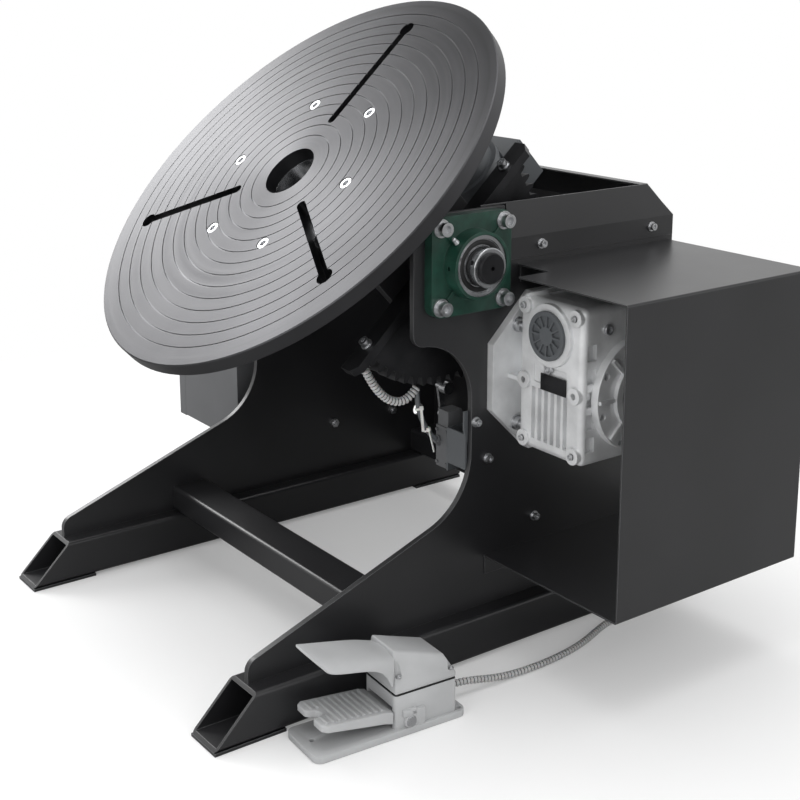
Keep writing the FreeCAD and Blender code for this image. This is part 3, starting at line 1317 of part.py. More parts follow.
def pedal_gland():
    gland = Piece("pedal_gland", "pedal")
    rear = "pedal_body_len - 1"
    gland.rod(("-4", f"{rear} - 5", GLAND_Z), "y", "8", "8")
    ring = [(f"-4 + 11.5 * cos({a})", f"{GLAND_Z} + 11.5 * sin({a})") for a in range(0, 360, 60)]
    gland.pad("XZ", ring, f"-({rear}) - 8", "8")
    gland.rod(("-4", f"{rear} + 8", GLAND_Z), "y", "8.5", "6")
    gland.rod(("-4", f"{rear} - 6", GLAND_Z), "y", "cord_d / 2 + run_gap", "8", cut=True)
    return gland


# ---------------------------------------------------------------- the whole machine
foot_tube(1, "right_foot_tube")
foot_tube(-1, "left_foot_tube")
foot_pads()
side_plate(1, "right_side_plate")
side_plate(-1, "left_side_plate")
cross_tube("front_cross_tube", "-front_cross_y")
cross_tube("rear_cross_tube", "rear_cross_y")
guard_wing(1, "right_guard_wing")
guard_wing(-1, "left_guard_wing")
rear_guard()
panel_screws()
for side, word in ((1, "right"), (-1, "left")):
    bearing_housing(side, f"{word}_bearing_housing")
    bearing_outer_ring(side, f"{word}_bearing_outer_ring")
    bearing_inner_ring(side, f"{word}_bearing_inner_ring")
    stub_shaft(side, f"{word}_stub_shaft")
    tilt_arm(side, f"{word}_tilt_arm")
bearing_bolts()
table_carrier()
sector_gear()
sector_bolts()
trip_bars()
trip_screws()
slewing_ring()
table_gearmotor()
table()
table_hub()
table_screws()
table_pinion()
gearbox_housing()
gearbox_output_flange()
gearbox_side_cover()
gearbox_worm_cap()
gearbox_flange_bolts()
tilt_output_shaft()
tilt_pinion()
tilt_motor()
tilt_motor_terminal_box()
drive_cover()
control_box()
control_box_door()
control_box_lock()
control_box_bolts()
control_box_spacers()
limit_switch_bracket()
limit_switch_body()
limit_switch_lever()
pedal_base()
pedal_gasket()
pedal_cover()
treadle()
treadle_pin()
pedal_gland()
cord("pedal_cable", PEDAL_ROUTE, size("cord_d"))
cord("tilt_conduit", CONDUIT_ROUTE, size("conduit_d"), "axis")
cord("switch_cable", CABLE_ROUTE, size("switch_cable_d"), "axis")

doc.recompute()
failed = [obj.Name for obj in doc.Objects if "Invalid" in obj.State or "Error" in obj.State]
failed += [piece.Label for piece in pieces if piece.Shape.isNull() or not piece.Shape.isValid()]
if failed:
    raise RuntimeError("not built: " + ", ".join(failed))
os.makedirs("parts", exist_ok=True)
for piece in pieces:
    piece.Shape.exportStep(f"parts/{piece.Label}.step")
    print(f"{piece.Label}: {len(piece.Shape.Solids)} solids, {piece.Shape.Volume:.0f} mm3")
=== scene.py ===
"""Welding positioner: finishes, small parts, cables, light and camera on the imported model.

Run as a script it dresses the model. Laid out as an add-on: sizes and colours are properties, every group of
pieces is an operator, and the panel in the sidebar lists them.
"""

import json
import math

import bmesh
import bpy
from mathutils import Matrix, Vector


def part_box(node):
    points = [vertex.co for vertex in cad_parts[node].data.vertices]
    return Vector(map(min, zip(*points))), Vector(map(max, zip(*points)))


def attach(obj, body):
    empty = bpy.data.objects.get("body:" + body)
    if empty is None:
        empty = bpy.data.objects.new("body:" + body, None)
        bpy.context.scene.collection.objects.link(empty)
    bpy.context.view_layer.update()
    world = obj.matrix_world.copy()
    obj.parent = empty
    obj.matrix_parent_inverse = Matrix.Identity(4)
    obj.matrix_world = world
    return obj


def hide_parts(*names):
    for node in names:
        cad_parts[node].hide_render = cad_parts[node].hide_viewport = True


bl_info = {
    "name": "Welding positioner dressing",
    "version": (1, 0, 0),
    "blender": (4, 5, 0),
    "location": "3D View > Sidebar > Positioner",
    "description": "Finishes, small parts, cables and stage for a tilting welding table",
    "category": "Object",
}

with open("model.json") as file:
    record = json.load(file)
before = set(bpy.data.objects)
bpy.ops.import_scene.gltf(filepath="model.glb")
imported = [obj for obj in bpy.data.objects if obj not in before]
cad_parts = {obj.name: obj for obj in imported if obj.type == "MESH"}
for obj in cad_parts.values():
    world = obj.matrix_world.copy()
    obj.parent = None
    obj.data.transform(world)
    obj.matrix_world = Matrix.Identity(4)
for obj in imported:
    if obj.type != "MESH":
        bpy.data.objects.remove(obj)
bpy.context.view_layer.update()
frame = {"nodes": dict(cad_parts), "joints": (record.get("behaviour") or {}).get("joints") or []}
JOINTS = {joint["name"]: joint for joint in frame["joints"]}
AXIS = Vector(JOINTS["tilt"]["pos_m"])
FACE = Vector(JOINTS["table_turn"]["axis"]).normalized()
TILT = math.atan2(-FACE.y, FACE.z)

# The table's grooves, in metres: from one to the next, the first one's inner edge, the share of the pitch
# that gets a painted highlight, the radii between which there are any, and a level that only the front face
# reaches.
GROOVE_PITCH = 0.020
GROOVE_EDGE = 0.0658
GROOVE_SHARE = 0.1
GROOVE_FIELD = (0.064, 0.310)
FRONT_LEVEL = 0.1235

# The cosine at which an edge starts to get its painted highlight, the one at which that painted highlight is
# strongest, and how far it fades.
HIGHLIGHT_STARTS, HIGHLIGHT_FULL, HIGHLIGHT_SHARE = 0.985, 0.88, 0.55

# The angle from which an edge counts as sharp.
SHARP = math.radians(35)

# The camera: place in millimetres, yaw, pitch and roll in degrees, focal length on 36 mm, and shift.
CAMERA_SPOT = (1643.2, -1101.98, 920.4)
CAMERA_TURN = (53.714, 12.719, -0.028)
CAMERA_LENS = 62.68
CAMERA_SHIFT = -0.15


# ---------------------------------------------------------------- places and colours
def at(x, y, z):
    """A point given in millimetres from the middle between the plates, the tilt axis and the floor."""
    return Vector((AXIS.x + x / 1000, AXIS.y + y / 1000, z / 1000))


def below_axis(point):
    """A point given in millimetres from the tilt axis."""
    return AXIS + Vector(point) / 1000


def linear(code):
    """An sRGB hex colour as linear red, green, blue and alpha."""
    parts = [int(code[i:i + 2], 16) / 255 for i in (1, 3, 5)]
    return [p / 12.92 if p <= 0.04045 else ((p + 0.055) / 1.055) ** 2.4 for p in parts] + [1.0]


def colour(name, text, code):
    """A colour property with its default."""
    return bpy.props.FloatVectorProperty(name=name, description=text, subtype="COLOR", size=4,
                                         min=0, max=1, default=linear(code))


def length(name, text, millimetres):
    """A length property, kept in metres."""
    return bpy.props.FloatProperty(name=name, description=text, subtype="DISTANCE", unit="LENGTH",
                                   default=millimetres / 1000, min=0.0001, max=1.0, precision=4)


class PositionerColours(bpy.types.PropertyGroup):
    """Base colour of each finish"""
    powder: colour("Powder coat", "Stand, guards and drive cover", "#1c1c1e")
    casting: colour("Casting enamel", "Flanged bearing housings", "#173a2f")
    face: colour("Table steel", "Turned face plate", "#515153")
    zinc: colour("Zinc", "Plated screws, spacers and grease nipples", "#cfd0d2")
    ground: colour("Ground steel", "Shafts, rings, pinions, hub, switch lever and lock", "#bcbdbf")
    alloy: colour("Die-cast aluminium", "Gearbox", "#e6e7e8")
    cabinet: colour("Cabinet grey", "Control box and limit switch", "#5c5d5f")
    pedal: colour("Pedal grey", "Cast foot pedal", "#b0b1b2")
    sector: colour("Blackened steel", "Sector gear, trip bars, stub shafts and blank plate", "#232325")
    motor: colour("Motor grey", "Motors, worm cap, switch bracket and lead", "#55585b")
    # the grooves of the hoses get this rubber colour as painted shade
    rubber: colour("Rubber", "Gasket, gland, seals and the grooves of the hoses", "#151516")
    sleeve: colour("Sleeve", "Pedal hose and conduit", "#b4b4b4")
    tie: colour("Cable tie", "Nylon ties", "#d8d8d4")


class PositionerSizes(bpy.types.PropertyGroup):
    """Sizes of the cords, the ties and the rounded edges, which also carry a painted highlight"""
    hose: length("Pedal hose", "Diameter of the spiral hose", 9.6)
    hose_pitch: length("Hose pitch", "From one rib to the next", 5.6)
    conduit: length("Conduit", "Diameter of the corrugated sleeve", 12)
    conduit_pitch: length("Conduit pitch", "From one corrugation to the next", 5.2)
    lead: length("Switch lead", "Diameter of the switch's lead", 7)
    edge: length("Broken edge", "Radius that the finish shows along sheet edges", 0.9)
    tie: length("Tie width", "Width of a cable tie", 3.6)


# ---------------------------------------------------------------- node helper
def node(tree, kind, settings=None, links=None):
    """Add a node with its settings and its links from other nodes' outputs."""
    made = tree.nodes.new(kind)
    for key, value in (settings or {}).items():
        if isinstance(key, str) and key not in made.inputs:
            setattr(made, key, value)
    for key, value in (settings or {}).items():
        if isinstance(key, int) or key in made.inputs:
            made.inputs[key].default_value = value
    for key, source in (links or {}).items():
        tree.links.new(source, made.inputs[key])
    return made


def new_finish(name, base, metallic, roughness, **more):
    """A material, its tree, its surface shader and the place that its patterns follow."""
    made = bpy.data.materials.new(name)
    made.use_nodes = True
    made.diffuse_color = tuple(base)
    tree = made.node_tree
    tree.nodes.clear()
    settings = {"Base Color": base, "Metallic": metallic, "Roughness": roughness}
    settings.update(more)
    shader = node(tree, "ShaderNodeBsdfPrincipled", settings)
    node(tree, "ShaderNodeOutputMaterial", None, {"Surface": shader.outputs["BSDF"]})
    return made, tree, shader, node(tree, "ShaderNodeTexCoord").outputs["Object"]


def noise(tree, place, scale, detail):
    """A cloudy pattern from 0 to 1; the scale counts its waves in a metre."""
    return node(tree, "ShaderNodeTexNoise", {"Scale": scale, "Detail": detail}, {"Vector": place}).outputs[0]


def ring_noise(tree, radius, scale, detail):
    """A pattern from 0 to 1 that changes with the radius only."""
    return node(tree, "ShaderNodeTexNoise", {"noise_dimensions": "1D", "Scale": scale, "Detail": detail},
                {"W": radius}).outputs[0]


def reckon(tree, operation, *values):
    """A sum on numbers and on other nodes' outputs."""
    made = node(tree, "ShaderNodeMath", {"operation": operation})
    for place, value in enumerate(values):
        if isinstance(value, bpy.types.NodeSocket):
            tree.links.new(value, made.inputs[place])
        else:
            made.inputs[place].default_value = value
    return made.outputs[0]


def rounded(tree, radius, samples=4):
    """The surface's direction with its sharp edges rounded off."""
    return node(tree, "ShaderNodeBevel", {"samples": samples, "Radius": radius}).outputs[0]


def spread(tree, fac, low, high):
    """Map a 0 to 1 pattern to a range."""
    return node(tree, "ShaderNodeMapRange", {3: low, 4: high}, {0: fac}).outputs[0]


def tinted(tree, fac, base, darker, lighter):
    """A colour that wanders a little about its base."""
    ramp = node(tree, "ShaderNodeValToRGB", None, {0: fac})
    ramp.color_ramp.elements[0].position = 0.3
    ramp.color_ramp.elements[1].position = 0.7
    ramp.color_ramp.elements[0].color = [c * darker for c in base[:3]] + [1]
    ramp.color_ramp.elements[1].color = [min(1, c * lighter) for c in base[:3]] + [1]
    return ramp.outputs[0]


def relief(tree, shader, pattern, strength, depth, rounded_normal=None):
    """Raise the surface by a pattern, on top of rounded edges where they are given."""
    links = {"Height": pattern}
    if rounded_normal is not None:
        links["Normal"] = rounded_normal
    bump = node(tree, "ShaderNodeBump", {"Strength": strength, "Distance": depth}, links)
    tree.links.new(bump.outputs[0], shader.inputs["Normal"])


def shine(tree, shader, pattern, low, high):
    """Let the roughness follow a pattern."""
    tree.links.new(spread(tree, pattern, low, high), shader.inputs["Roughness"])


def tint(tree, shader, pattern, base, darker, lighter):
    """Let the colour follow a pattern."""
    tree.links.new(tinted(tree, pattern, base, darker, lighter), shader.inputs["Base Color"])


# ---------------------------------------------------------------- finishes
def powder_coat(base, edge):
    """Black polyester powder on sheet steel: fine orange peel, a glossy skin, and a painted highlight along
    its edges.
    """
    made, tree, shader, place = new_finish("black powder coat", base, 0.0, 0.4,
                                           **{"Coat Weight": 0.45, "Coat Roughness": 0.3})
    # orange peel about 2 mm across, and handling marks and thickness changes about 120 mm across
    peel = noise(tree, place, 480.0, 2.0)
    broad = noise(tree, place, 8.0, 3.0)
    rounded_normal = rounded(tree, edge, 6)
    relief(tree, shader, peel, 0.14, 0.0004, rounded_normal)
    tree.links.new(rounded_normal, shader.inputs["Coat Normal"])
    shine(tree, shader, broad, 0.34, 0.46)
    # painted highlight: where the rounded normal turns away from the face, a lighter grey is mixed into the
    # colour to stand in for light caught by the edges
    flat = node(tree, "ShaderNodeNewGeometry").outputs["True Normal"]
    same = node(tree, "ShaderNodeVectorMath", {"operation": "DOT_PRODUCT"}, {0: rounded_normal, 1: flat})
    rim = node(tree, "ShaderNodeMapRange", {1: HIGHLIGHT_STARTS, 2: HIGHLIGHT_FULL, 3: 0.0, 4: HIGHLIGHT_SHARE},
               {0: same.outputs["Value"]})
    highlighted = node(tree, "ShaderNodeMix", {"data_type": "RGBA", 7: linear("#8d8e90")},
                 {0: rim.outputs[0], 6: tinted(tree, broad, base, 0.85, 1.2)})
    tree.links.new(highlighted.outputs[2], shader.inputs["Base Color"])
    return made


def casting_enamel(base):
    """Green enamel over sand-cast iron: grainy skin of about 2 mm under a glossy coat."""
    made, tree, shader, place = new_finish("green casting enamel", base, 0.0, 0.34,
                                           **{"Coat Weight": 0.35, "Coat Roughness": 0.2})
    skin = noise(tree, place, 420.0, 4.0)
    lumps = noise(tree, place, 60.0, 2.0)
    relief(tree, shader, reckon(tree, "ADD", skin, lumps), 0.3, 0.0006, rounded(tree, 0.0012))
    tint(tree, shader, lumps, base, 0.75, 1.35)
    return made


def turned_table_steel(base):
    """Face plate turned on a lathe: fine rings about the centre, a fan-shaped sheen, slight mill stain, and a
    painted highlight in the clamping grooves.
    """
    made, tree, shader, place = new_finish("turned table steel", base, 1.0, 0.4, Anisotropic=0.65)
    local = node(tree, "ShaderNodeMapping",
                 {"vector_type": "TEXTURE", "Location": AXIS, "Rotation": (TILT, 0, 0)}, {"Vector": place})
    parts = node(tree, "ShaderNodeSeparateXYZ", None, {0: local.outputs[0]})
    flat = node(tree, "ShaderNodeCombineXYZ", None, {0: parts.outputs[0], 1: parts.outputs[1]})
    out = node(tree, "ShaderNodeVectorMath", {"operation": "LENGTH"}, {0: flat.outputs[0]})
    radius = out.outputs["Value"]
    # tool marks about 1.2 mm apart, uneven from ring to ring
    marks = ring_noise(tree, radius, 800.0, 3.0)
    bands = ring_noise(tree, radius, 70.0, 4.0)
    stain = noise(tree, place, 5.0, 5.0)
    relief(tree, shader, marks, 0.12, 0.0003)
    # the sheen runs round the middle of the table
    arm = node(tree, "ShaderNodeVectorMath", {"operation": "SUBTRACT", 1: AXIS}, {0: place})
    around = node(tree, "ShaderNodeVectorMath", {"operation": "CROSS_PRODUCT", 1: FACE}, {0: arm.outputs[0]})
    turned = node(tree, "ShaderNodeVectorTransform",
                  {"vector_type": "VECTOR", "convert_from": "OBJECT", "convert_to": "WORLD"},
                  {0: around.outputs[0]})
    tree.links.new(turned.outputs[0], shader.inputs["Tangent"])
    shine(tree, shader, bands, 0.33, 0.5)
    both = reckon(tree, "MULTIPLY", stain, bands)
    skin = tinted(tree, spread(tree, both, 0.0, 2.0), base, 0.82, 1.15)
    # the clamping grooves get a painted highlight, a lighter grey on the front face only, standing in for
    # light off their walls
    inner, outer = GROOVE_FIELD
    turns = reckon(tree, "MULTIPLY_ADD", radius, 1 / GROOVE_PITCH, -GROOVE_EDGE / GROOVE_PITCH)
    inside = reckon(tree, "LESS_THAN", reckon(tree, "FRACT", turns), GROOVE_SHARE)
    front = reckon(tree, "GREATER_THAN", parts.outputs[2], FRONT_LEVEL)
    reach = reckon(tree, "COMPARE", radius, (inner + outer) / 2, (outer - inner) / 2)
    groove_highlight = reckon(tree, "MULTIPLY", inside, reckon(tree, "MULTIPLY", front, reach))
    final = node(tree, "ShaderNodeMix", {"data_type": "RGBA", 7: linear("#6c6c6e")}, {0: groove_highlight, 6: skin})
    tree.links.new(final.outputs[2], shader.inputs["Base Color"])
    return made


def plated_steel(base):
    """Bright zinc on fasteners: a soft metallic shine with tiny pits."""
    made, tree, shader, place = new_finish("zinc plating", base, 1.0, 0.3)
    pits = noise(tree, place, 700.0, 2.0)
    relief(tree, shader, pits, 0.1, 0.0002, rounded(tree, 0.0006))
    shine(tree, shader, pits, 0.2, 0.42)
    return made


def ground_steel(base):
    """Ground and polished steel on shafts and rings: very fine grinding lines, thin oil film."""
    made, tree, shader, place = new_finish("ground steel", base, 1.0, 0.24)
    stretch = node(tree, "ShaderNodeMapping", {"Scale": (60.0, 900.0, 900.0)}, {"Vector": place})
    lines = noise(tree, stretch.outputs[0], 1.0, 3.0)
    relief(tree, shader, lines, 0.008, 0.0002, rounded(tree, 0.0006))
    shine(tree, shader, lines, 0.2, 0.27)
    return made


def die_cast_alloy(base):
    """Shot-blasted aluminium casting: a matt metallic skin with a fine grain of about 1.5 mm."""
    made, tree, shader, place = new_finish("die-cast aluminium", base, 0.45, 0.38)
    grain = noise(tree, place, 650.0, 3.0)
    flow = noise(tree, place, 22.0, 4.0)
    relief(tree, shader, grain, 0.28, 0.0004, rounded(tree, 0.0018))
    shine(tree, shader, flow, 0.34, 0.52)
    tint(tree, shader, flow, base, 0.8, 1.1)
    return made


def satin_enamel(name, base, grain_mm, rough):
    """Stoved enamel in a grey, on castings and cabinets: a fine texture and a satin sheen."""
    made, tree, shader, place = new_finish(name, base, 0.0, rough)
    grain = noise(tree, place, 1000.0 / grain_mm, 3.0)
    broad = noise(tree, place, 14.0, 3.0)
    relief(tree, shader, grain, 0.2, 0.0004, rounded(tree, 0.0012))
    shine(tree, shader, broad, rough - 0.05, rough + 0.08)
    tint(tree, shader, broad, base, 0.9, 1.06)
    return made


def blackened_steel(base):
    """Oil-blackened steel: nearly black with a dull metallic shine and rubbed high spots."""
    made, tree, shader, place = new_finish("blackened steel", base, 0.6, 0.4)
    scale = noise(tree, place, 260.0, 4.0)
    rub = noise(tree, place, 30.0, 3.0)
    relief(tree, shader, scale, 0.2, 0.0003, rounded(tree, 0.0008))
    shine(tree, shader, rub, 0.3, 0.5)
    tint(tree, shader, rub, base, 0.8, 1.5)
    return made


def nitrile_rubber(base):
    """Black rubber: matt with a faint mould grain."""
    made, tree, shader, place = new_finish("nitrile rubber", base, 0.0, 0.62)
    grain = noise(tree, place, 900.0, 2.0)
    relief(tree, shader, grain, 0.15, 0.0002)
    shine(tree, shader, grain, 0.5, 0.7)
    return made


def moulded_plastic(name, base, rough):
    """Extruded polyamide: smooth, slightly cloudy, a little light going in."""
    made, tree, shader, place = new_finish(name, base, 0.0, rough,
                                           **{"Subsurface Weight": 0.08, "Subsurface Scale": 0.002})
    cloud = noise(tree, place, 90.0, 3.0)
    shine(tree, shader, cloud, rough - 0.08, rough + 0.1)
    tint(tree, shader, cloud, base, 0.88, 1.08)
    return made


FINISHES = {}


def make_finishes(colours, sizes):
    """Make each finish once."""
    if FINISHES:
        return
    FINISHES.update({
        "powder": powder_coat(list(colours.powder), sizes.edge),
        "casting": casting_enamel(list(colours.casting)),
        "face": turned_table_steel(list(colours.face)),
        "zinc": plated_steel(list(colours.zinc)),
        "ground": ground_steel(list(colours.ground)),
        "alloy": die_cast_alloy(list(colours.alloy)),
        "cabinet": satin_enamel("cabinet grey paint", list(colours.cabinet), 2.2, 0.45),
        "pedal": satin_enamel("pedal grey enamel", list(colours.pedal), 1.6, 0.38),
        "sector": blackened_steel(list(colours.sector)),
        "motor": satin_enamel("motor grey paint", list(colours.motor), 2.0, 0.42),
        "rubber": nitrile_rubber(list(colours.rubber)),
        "sleeve": moulded_plastic("corrugated polyamide", list(colours.sleeve), 0.4),
        "tie": moulded_plastic("natural nylon", list(colours.tie), 0.35),
    })


NODE_FINISH = {
    "casting": ("right_bearing_housing", "left_bearing_housing"),
    "zinc": ("panel_screws", "bearing_bolts", "table_screws", "sector_bolts", "trip_screws",
             "gearbox_flange_bolts", "control_box_bolts", "control_box_spacers", "treadle_pin"),
    "ground": ("right_bearing_inner_ring", "left_bearing_inner_ring", "right_bearing_outer_ring",
               "left_bearing_outer_ring", "tilt_output_shaft",
               "tilt_pinion", "table_pinion", "table_hub", "slewing_ring", "limit_switch_lever",
               "control_box_lock"),
    "face": ("table",),
    "alloy": ("gearbox_housing", "gearbox_output_flange", "gearbox_side_cover"),
    "cabinet": ("control_box", "control_box_door", "limit_switch_body"),
    "pedal": ("pedal_base", "pedal_cover", "treadle"),
    "sector": ("sector_gear", "trip_bars", "right_stub_shaft", "left_stub_shaft"),
    "motor": ("tilt_motor", "tilt_motor_terminal_box", "table_gearmotor", "gearbox_worm_cap",
              "limit_switch_bracket"),
    "rubber": ("pedal_gasket", "pedal_gland"),
}


# ---------------------------------------------------------------- mesh helpers
def clear_selection():
    """Leave edit mode and select nothing."""
    if bpy.context.object and bpy.context.object.mode != "OBJECT":
        bpy.ops.object.mode_set(mode="OBJECT")
    bpy.ops.object.select_all(action="DESELECT")


def pick(*objects):
    """Select some objects and nothing else; the first is the active one."""
    clear_selection()
    for obj in objects:
        obj.select_set(True)
    bpy.context.view_layer.objects.active = objects[0]


def added(name, data):
    """A new object in the scene."""
    obj = bpy.data.objects.new(name, data)
    bpy.context.scene.collection.objects.link(obj)
    return obj


def altered(obj, kind, **settings):
    """Change a mesh by a modifier and apply it."""
    pick(obj)
    made = obj.modifiers.new(kind.lower(), kind)
    for key, value in settings.items():
        setattr(made, key, value)
    bpy.ops.object.modifier_apply(modifier=made.name)
    return obj


def settle(obj, name, finish, body):
    """Apply an object's place to its mesh, give it its finish and let it ride."""
    pick(obj)
    bpy.ops.object.transform_apply(location=True, rotation=True, scale=True)
    obj.name = name
    obj.data.name = name
    obj.data.materials.clear()
    obj.data.materials.append(FINISHES[finish])
    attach(obj, body)
    return obj


def turn_to(direction):
    """Rotation that brings +Z onto a direction."""
    return Vector(direction).normalized().to_track_quat("Z", "Y").to_euler()


def bevel_edges(obj, width, segments=2):
    """Round the sharp edges with an applied modifier."""
    altered(obj, "BEVEL", width=width, segments=segments, limit_method="ANGLE", angle_limit=SHARP)
    bpy.ops.object.shade_smooth_by_angle(angle=SHARP)
    return obj


def joined(objects):
    """Join several meshes into the first."""
    pick(*objects)
    bpy.ops.object.join()
    return objects[0]


def screw_head(spot, direction, diameter, height, socket):
    """A socket-head screw, made from a cylinder whose top is inset and pushed in."""
    clear_selection()
    direction = Vector(direction).normalized()
    bpy.ops.mesh.primitive_cylinder_add(vertices=32, radius=diameter / 2000, depth=height / 1000,
                                        location=spot + direction * height / 2000,
                                        rotation=turn_to(direction))
    obj = bpy.context.object
    bpy.ops.object.mode_set(mode="EDIT")
    bpy.ops.mesh.select_all(action="DESELECT")
    shape = bmesh.from_edit_mesh(obj.data)
    top = max(shape.faces, key=lambda face: face.calc_center_median().z if len(face.verts) > 8 else -1)
    top.select = True
    bmesh.update_edit_mesh(obj.data)
    bpy.ops.mesh.inset(thickness=(diameter - socket) / 2000, depth=0)
    bpy.ops.mesh.inset(thickness=0, depth=-height * 0.55 / 1000)
    bpy.ops.object.mode_set(mode="OBJECT")
    return bevel_edges(obj, 0.0006)


# ---------------------------------------------------------------- foot pedal meshes
# All in millimetres on the pedal, whose middle stands here on the floor, turned by so many degrees.
PEDAL_SPOT = (364, -194)
PEDAL_TURN = 4
CASE = (-35.5, 35.5, 0.5, 90.5)
SEAM = 54.5
COVER_SCREWS = [(x, y, z) for x in (-33, 33) for y, z in ((7, 76), (84, 66))]
BASE = (40, -112, 104, 11)
BASE_THICK = 9
EAR = (33, 39.6)
PIN = (21, 17)
BOSS_RADIUS = 9
TREAD_HALF, STEM_HALF = 35, 26.5
TREAD_PROFILE = ((-1.5, 33), (-12, 36), (-100, 44), (-100, 35), (-13, 20.5), (-1.5, 17))
STEM_PROFILE = ((-4, 33.5), (14, 27.5), (29, 24), (29, 12), (14, 12), (-4, 17.5))
NOTCH = ((-14, -103), (-8, -96), (-7, -88), (-3, -84), (3, -84), (7, -88), (8, -96), (14, -103))
RIB_PITCH = 8.5
TREAD_SLOPE = 1 / 11
# The right half of the hood from its tip to the case, each row from the rim to the crown.
HOOD = (
    [(40, -92, 111), (36, -97, 119), (26, -103, 126), (0, -105, 127.5)],
    [(38, -60, 104), (35, -60, 112), (27, -60, 118), (0, -60, 119)],
    [(36.5, -26, 97), (34.5, -24, 105), (28, -22, 110.5), (0, -22, 111.5)],
    [(35.6, -9, 84), (34.2, -7, 98), (29, -5, 105.5), (0, -4, 106.5)],
    [(35.2, -2, 58), (34, 0, 88), (29, 5, 104), (0, 6, 105)],
)


def on_pedal(x, y, z):
    """A point of the foot pedal: across, towards its rear, and up, in millimetres from its middle."""
    turn = math.radians(-PEDAL_TURN)
    return at(PEDAL_SPOT[0] + x * math.cos(turn) - y * math.sin(turn),
              PEDAL_SPOT[1] + x * math.sin(turn) + y * math.cos(turn), z)


def from_rings(name, rings, closed):
    """A mesh through rings of points; closed ones get a face at both ends."""
    data = bpy.data.meshes.new(name)
    obj = added(name, data)
    shape = bmesh.new()
    rows = [[shape.verts.new(on_pedal(*point)) for point in ring] for ring in rings]
    for low, high in zip(rows, rows[1:]):
        for k in range(len(low) if closed else len(low) - 1):
            after = (k + 1) % len(low)
            shape.faces.new((low[k], low[after], high[after], high[k]))
    if closed:
        shape.faces.new(rows[0])
        shape.faces.new(rows[-1])
    bmesh.ops.recalc_face_normals(shape, faces=shape.faces)
    shape.to_mesh(data)
    shape.free()
    return obj


def stacked(name, rings):
    """A closed solid between rings of points."""
    return from_rings(name, rings, True)


def sheet_over(name, rings, wall):
    """A thin casting: a sheet through open rings, thickened inwards."""
    obj = from_rings(name, rings, False)
    if sum(face.normal.z for face in obj.data.polygons) < 0:
        obj.data.flip_normals()
    altered(obj, "SUBSURF", levels=2)
    altered(obj, "SOLIDIFY", thickness=wall / 1000, offset=-1)
    return bevel_edges(obj, 0.0008)


def level(left, right, front, back, z):
    """The corners of an upright box at one height."""
    return [(left, front, z), (right, front, z), (right, back, z), (left, back, z)]


def block(left, right, front, back, low, high):
    """A box of the foot pedal."""
    return stacked("block", [level(left, right, front, back, z) for z in (low, high)])


def circle(radius, sides=32):
    """Points of a circle about nought."""
    angles = [math.tau * k / sides for k in range(sides)]
    return [(radius * math.cos(a), radius * math.sin(a)) for a in angles]


def rod(x, y, low, high, radius):
    """An upright cylinder of the foot pedal."""
    return stacked("rod", [[(x + a, y + b, z) for a, b in circle(radius)] for z in (low, high)])


def slab(name, profile, half):
    """A solid with one profile from left to right."""
    return stacked(name, [[(x, y, z) for y, z in profile] for x in (-half, half)])


def punch(name, outline):
    """A tool that stands through the treadle."""
    return stacked(name, [[(x, y, z) for x, y in outline] for z in (20, 60)])


def corners(half, front, back, radius, z):
    """A rounded rectangle of the foot pedal at one height."""
    points = []
    for mx, my, start in ((half - radius, back - radius, 0), (radius - half, back - radius, 90),
                          (radius - half, front + radius, 180), (half - radius, front + radius, 270)):
        for step in range(7):
            a = math.radians(start + step * 15)
            points.append((mx + radius * math.cos(a), my + radius * math.sin(a), z))
    return points


def cut_by(obj, tool):
    """Cut one mesh out of another and remove it."""
    altered(obj, "BOOLEAN", operation="DIFFERENCE", solver="EXACT", object=tool)
    bpy.data.objects.remove(tool)
    return obj


# ---------------------------------------------------------------- cables
# The pedal hose from between the plates and the floor; the other two from the tilt axis, in millimetres.
PEDAL_ROUTE = [
    (367.334, -88.977, 20), (368.59, -71.02, 20), (370.6, -48, 16.2), (372.2, -22, 10.4), (373.6, 6, 6.4),
    (374.6, 34, 4.9), (375, 62, 4.6), (373.2, 96, 4.6), (369, 128, 4.6), (361, 160, 4.6), (350, 190, 4.6),
    (341.5, 216, 4.6), (337.2, 242, 4.6), (335.4, 266, 4.6), (336, 289, 4.6), (336, 307.3, 4.6),
    (336, 321.1, 9.1), (336, 332.9, 17.7), (336, 341.5, 29.5), (336, 346, 43.3), (336, 346, 57.9),
    (331.5, 346, 71.7), (322.9, 346, 83.5), (311.1, 346, 92.1), (297.3, 346, 96.6), (283, 346, 96.6),
]
CONDUIT_ROUTE = [
    (190, -92, -151), (191, -83, -169), (193, -71, -186), (195, -57, -198), (198, -41, -203),
    (200, -26, -198), (201, -15, -186),
]
CABLE_ROUTE = [
    (201, -15, -186), (203, -16, -200), (206, -16, -215), (210, -13, -230), (213, -7, -244),
    (214, 1, -255), (214, 7.8, -260),
]


def spline(name, points, diameter=0.0):
    """A smooth open line through space, on the route's points."""
    data = bpy.data.curves.new(name, "CURVE")
    data.dimensions = "3D"
    data.resolution_u = 24
    line = data.splines.new("NURBS")
    line.points.add(len(points) - 1)
    for point, spot in zip(line.points, points):
        point.co = (*spot, 1)
    line.order_u = 3
    line.use_endpoint_u = True
    if diameter:
        data.bevel_depth = diameter / 2
        data.bevel_resolution = 6
        data.use_fill_caps = True
    return added(name, data)


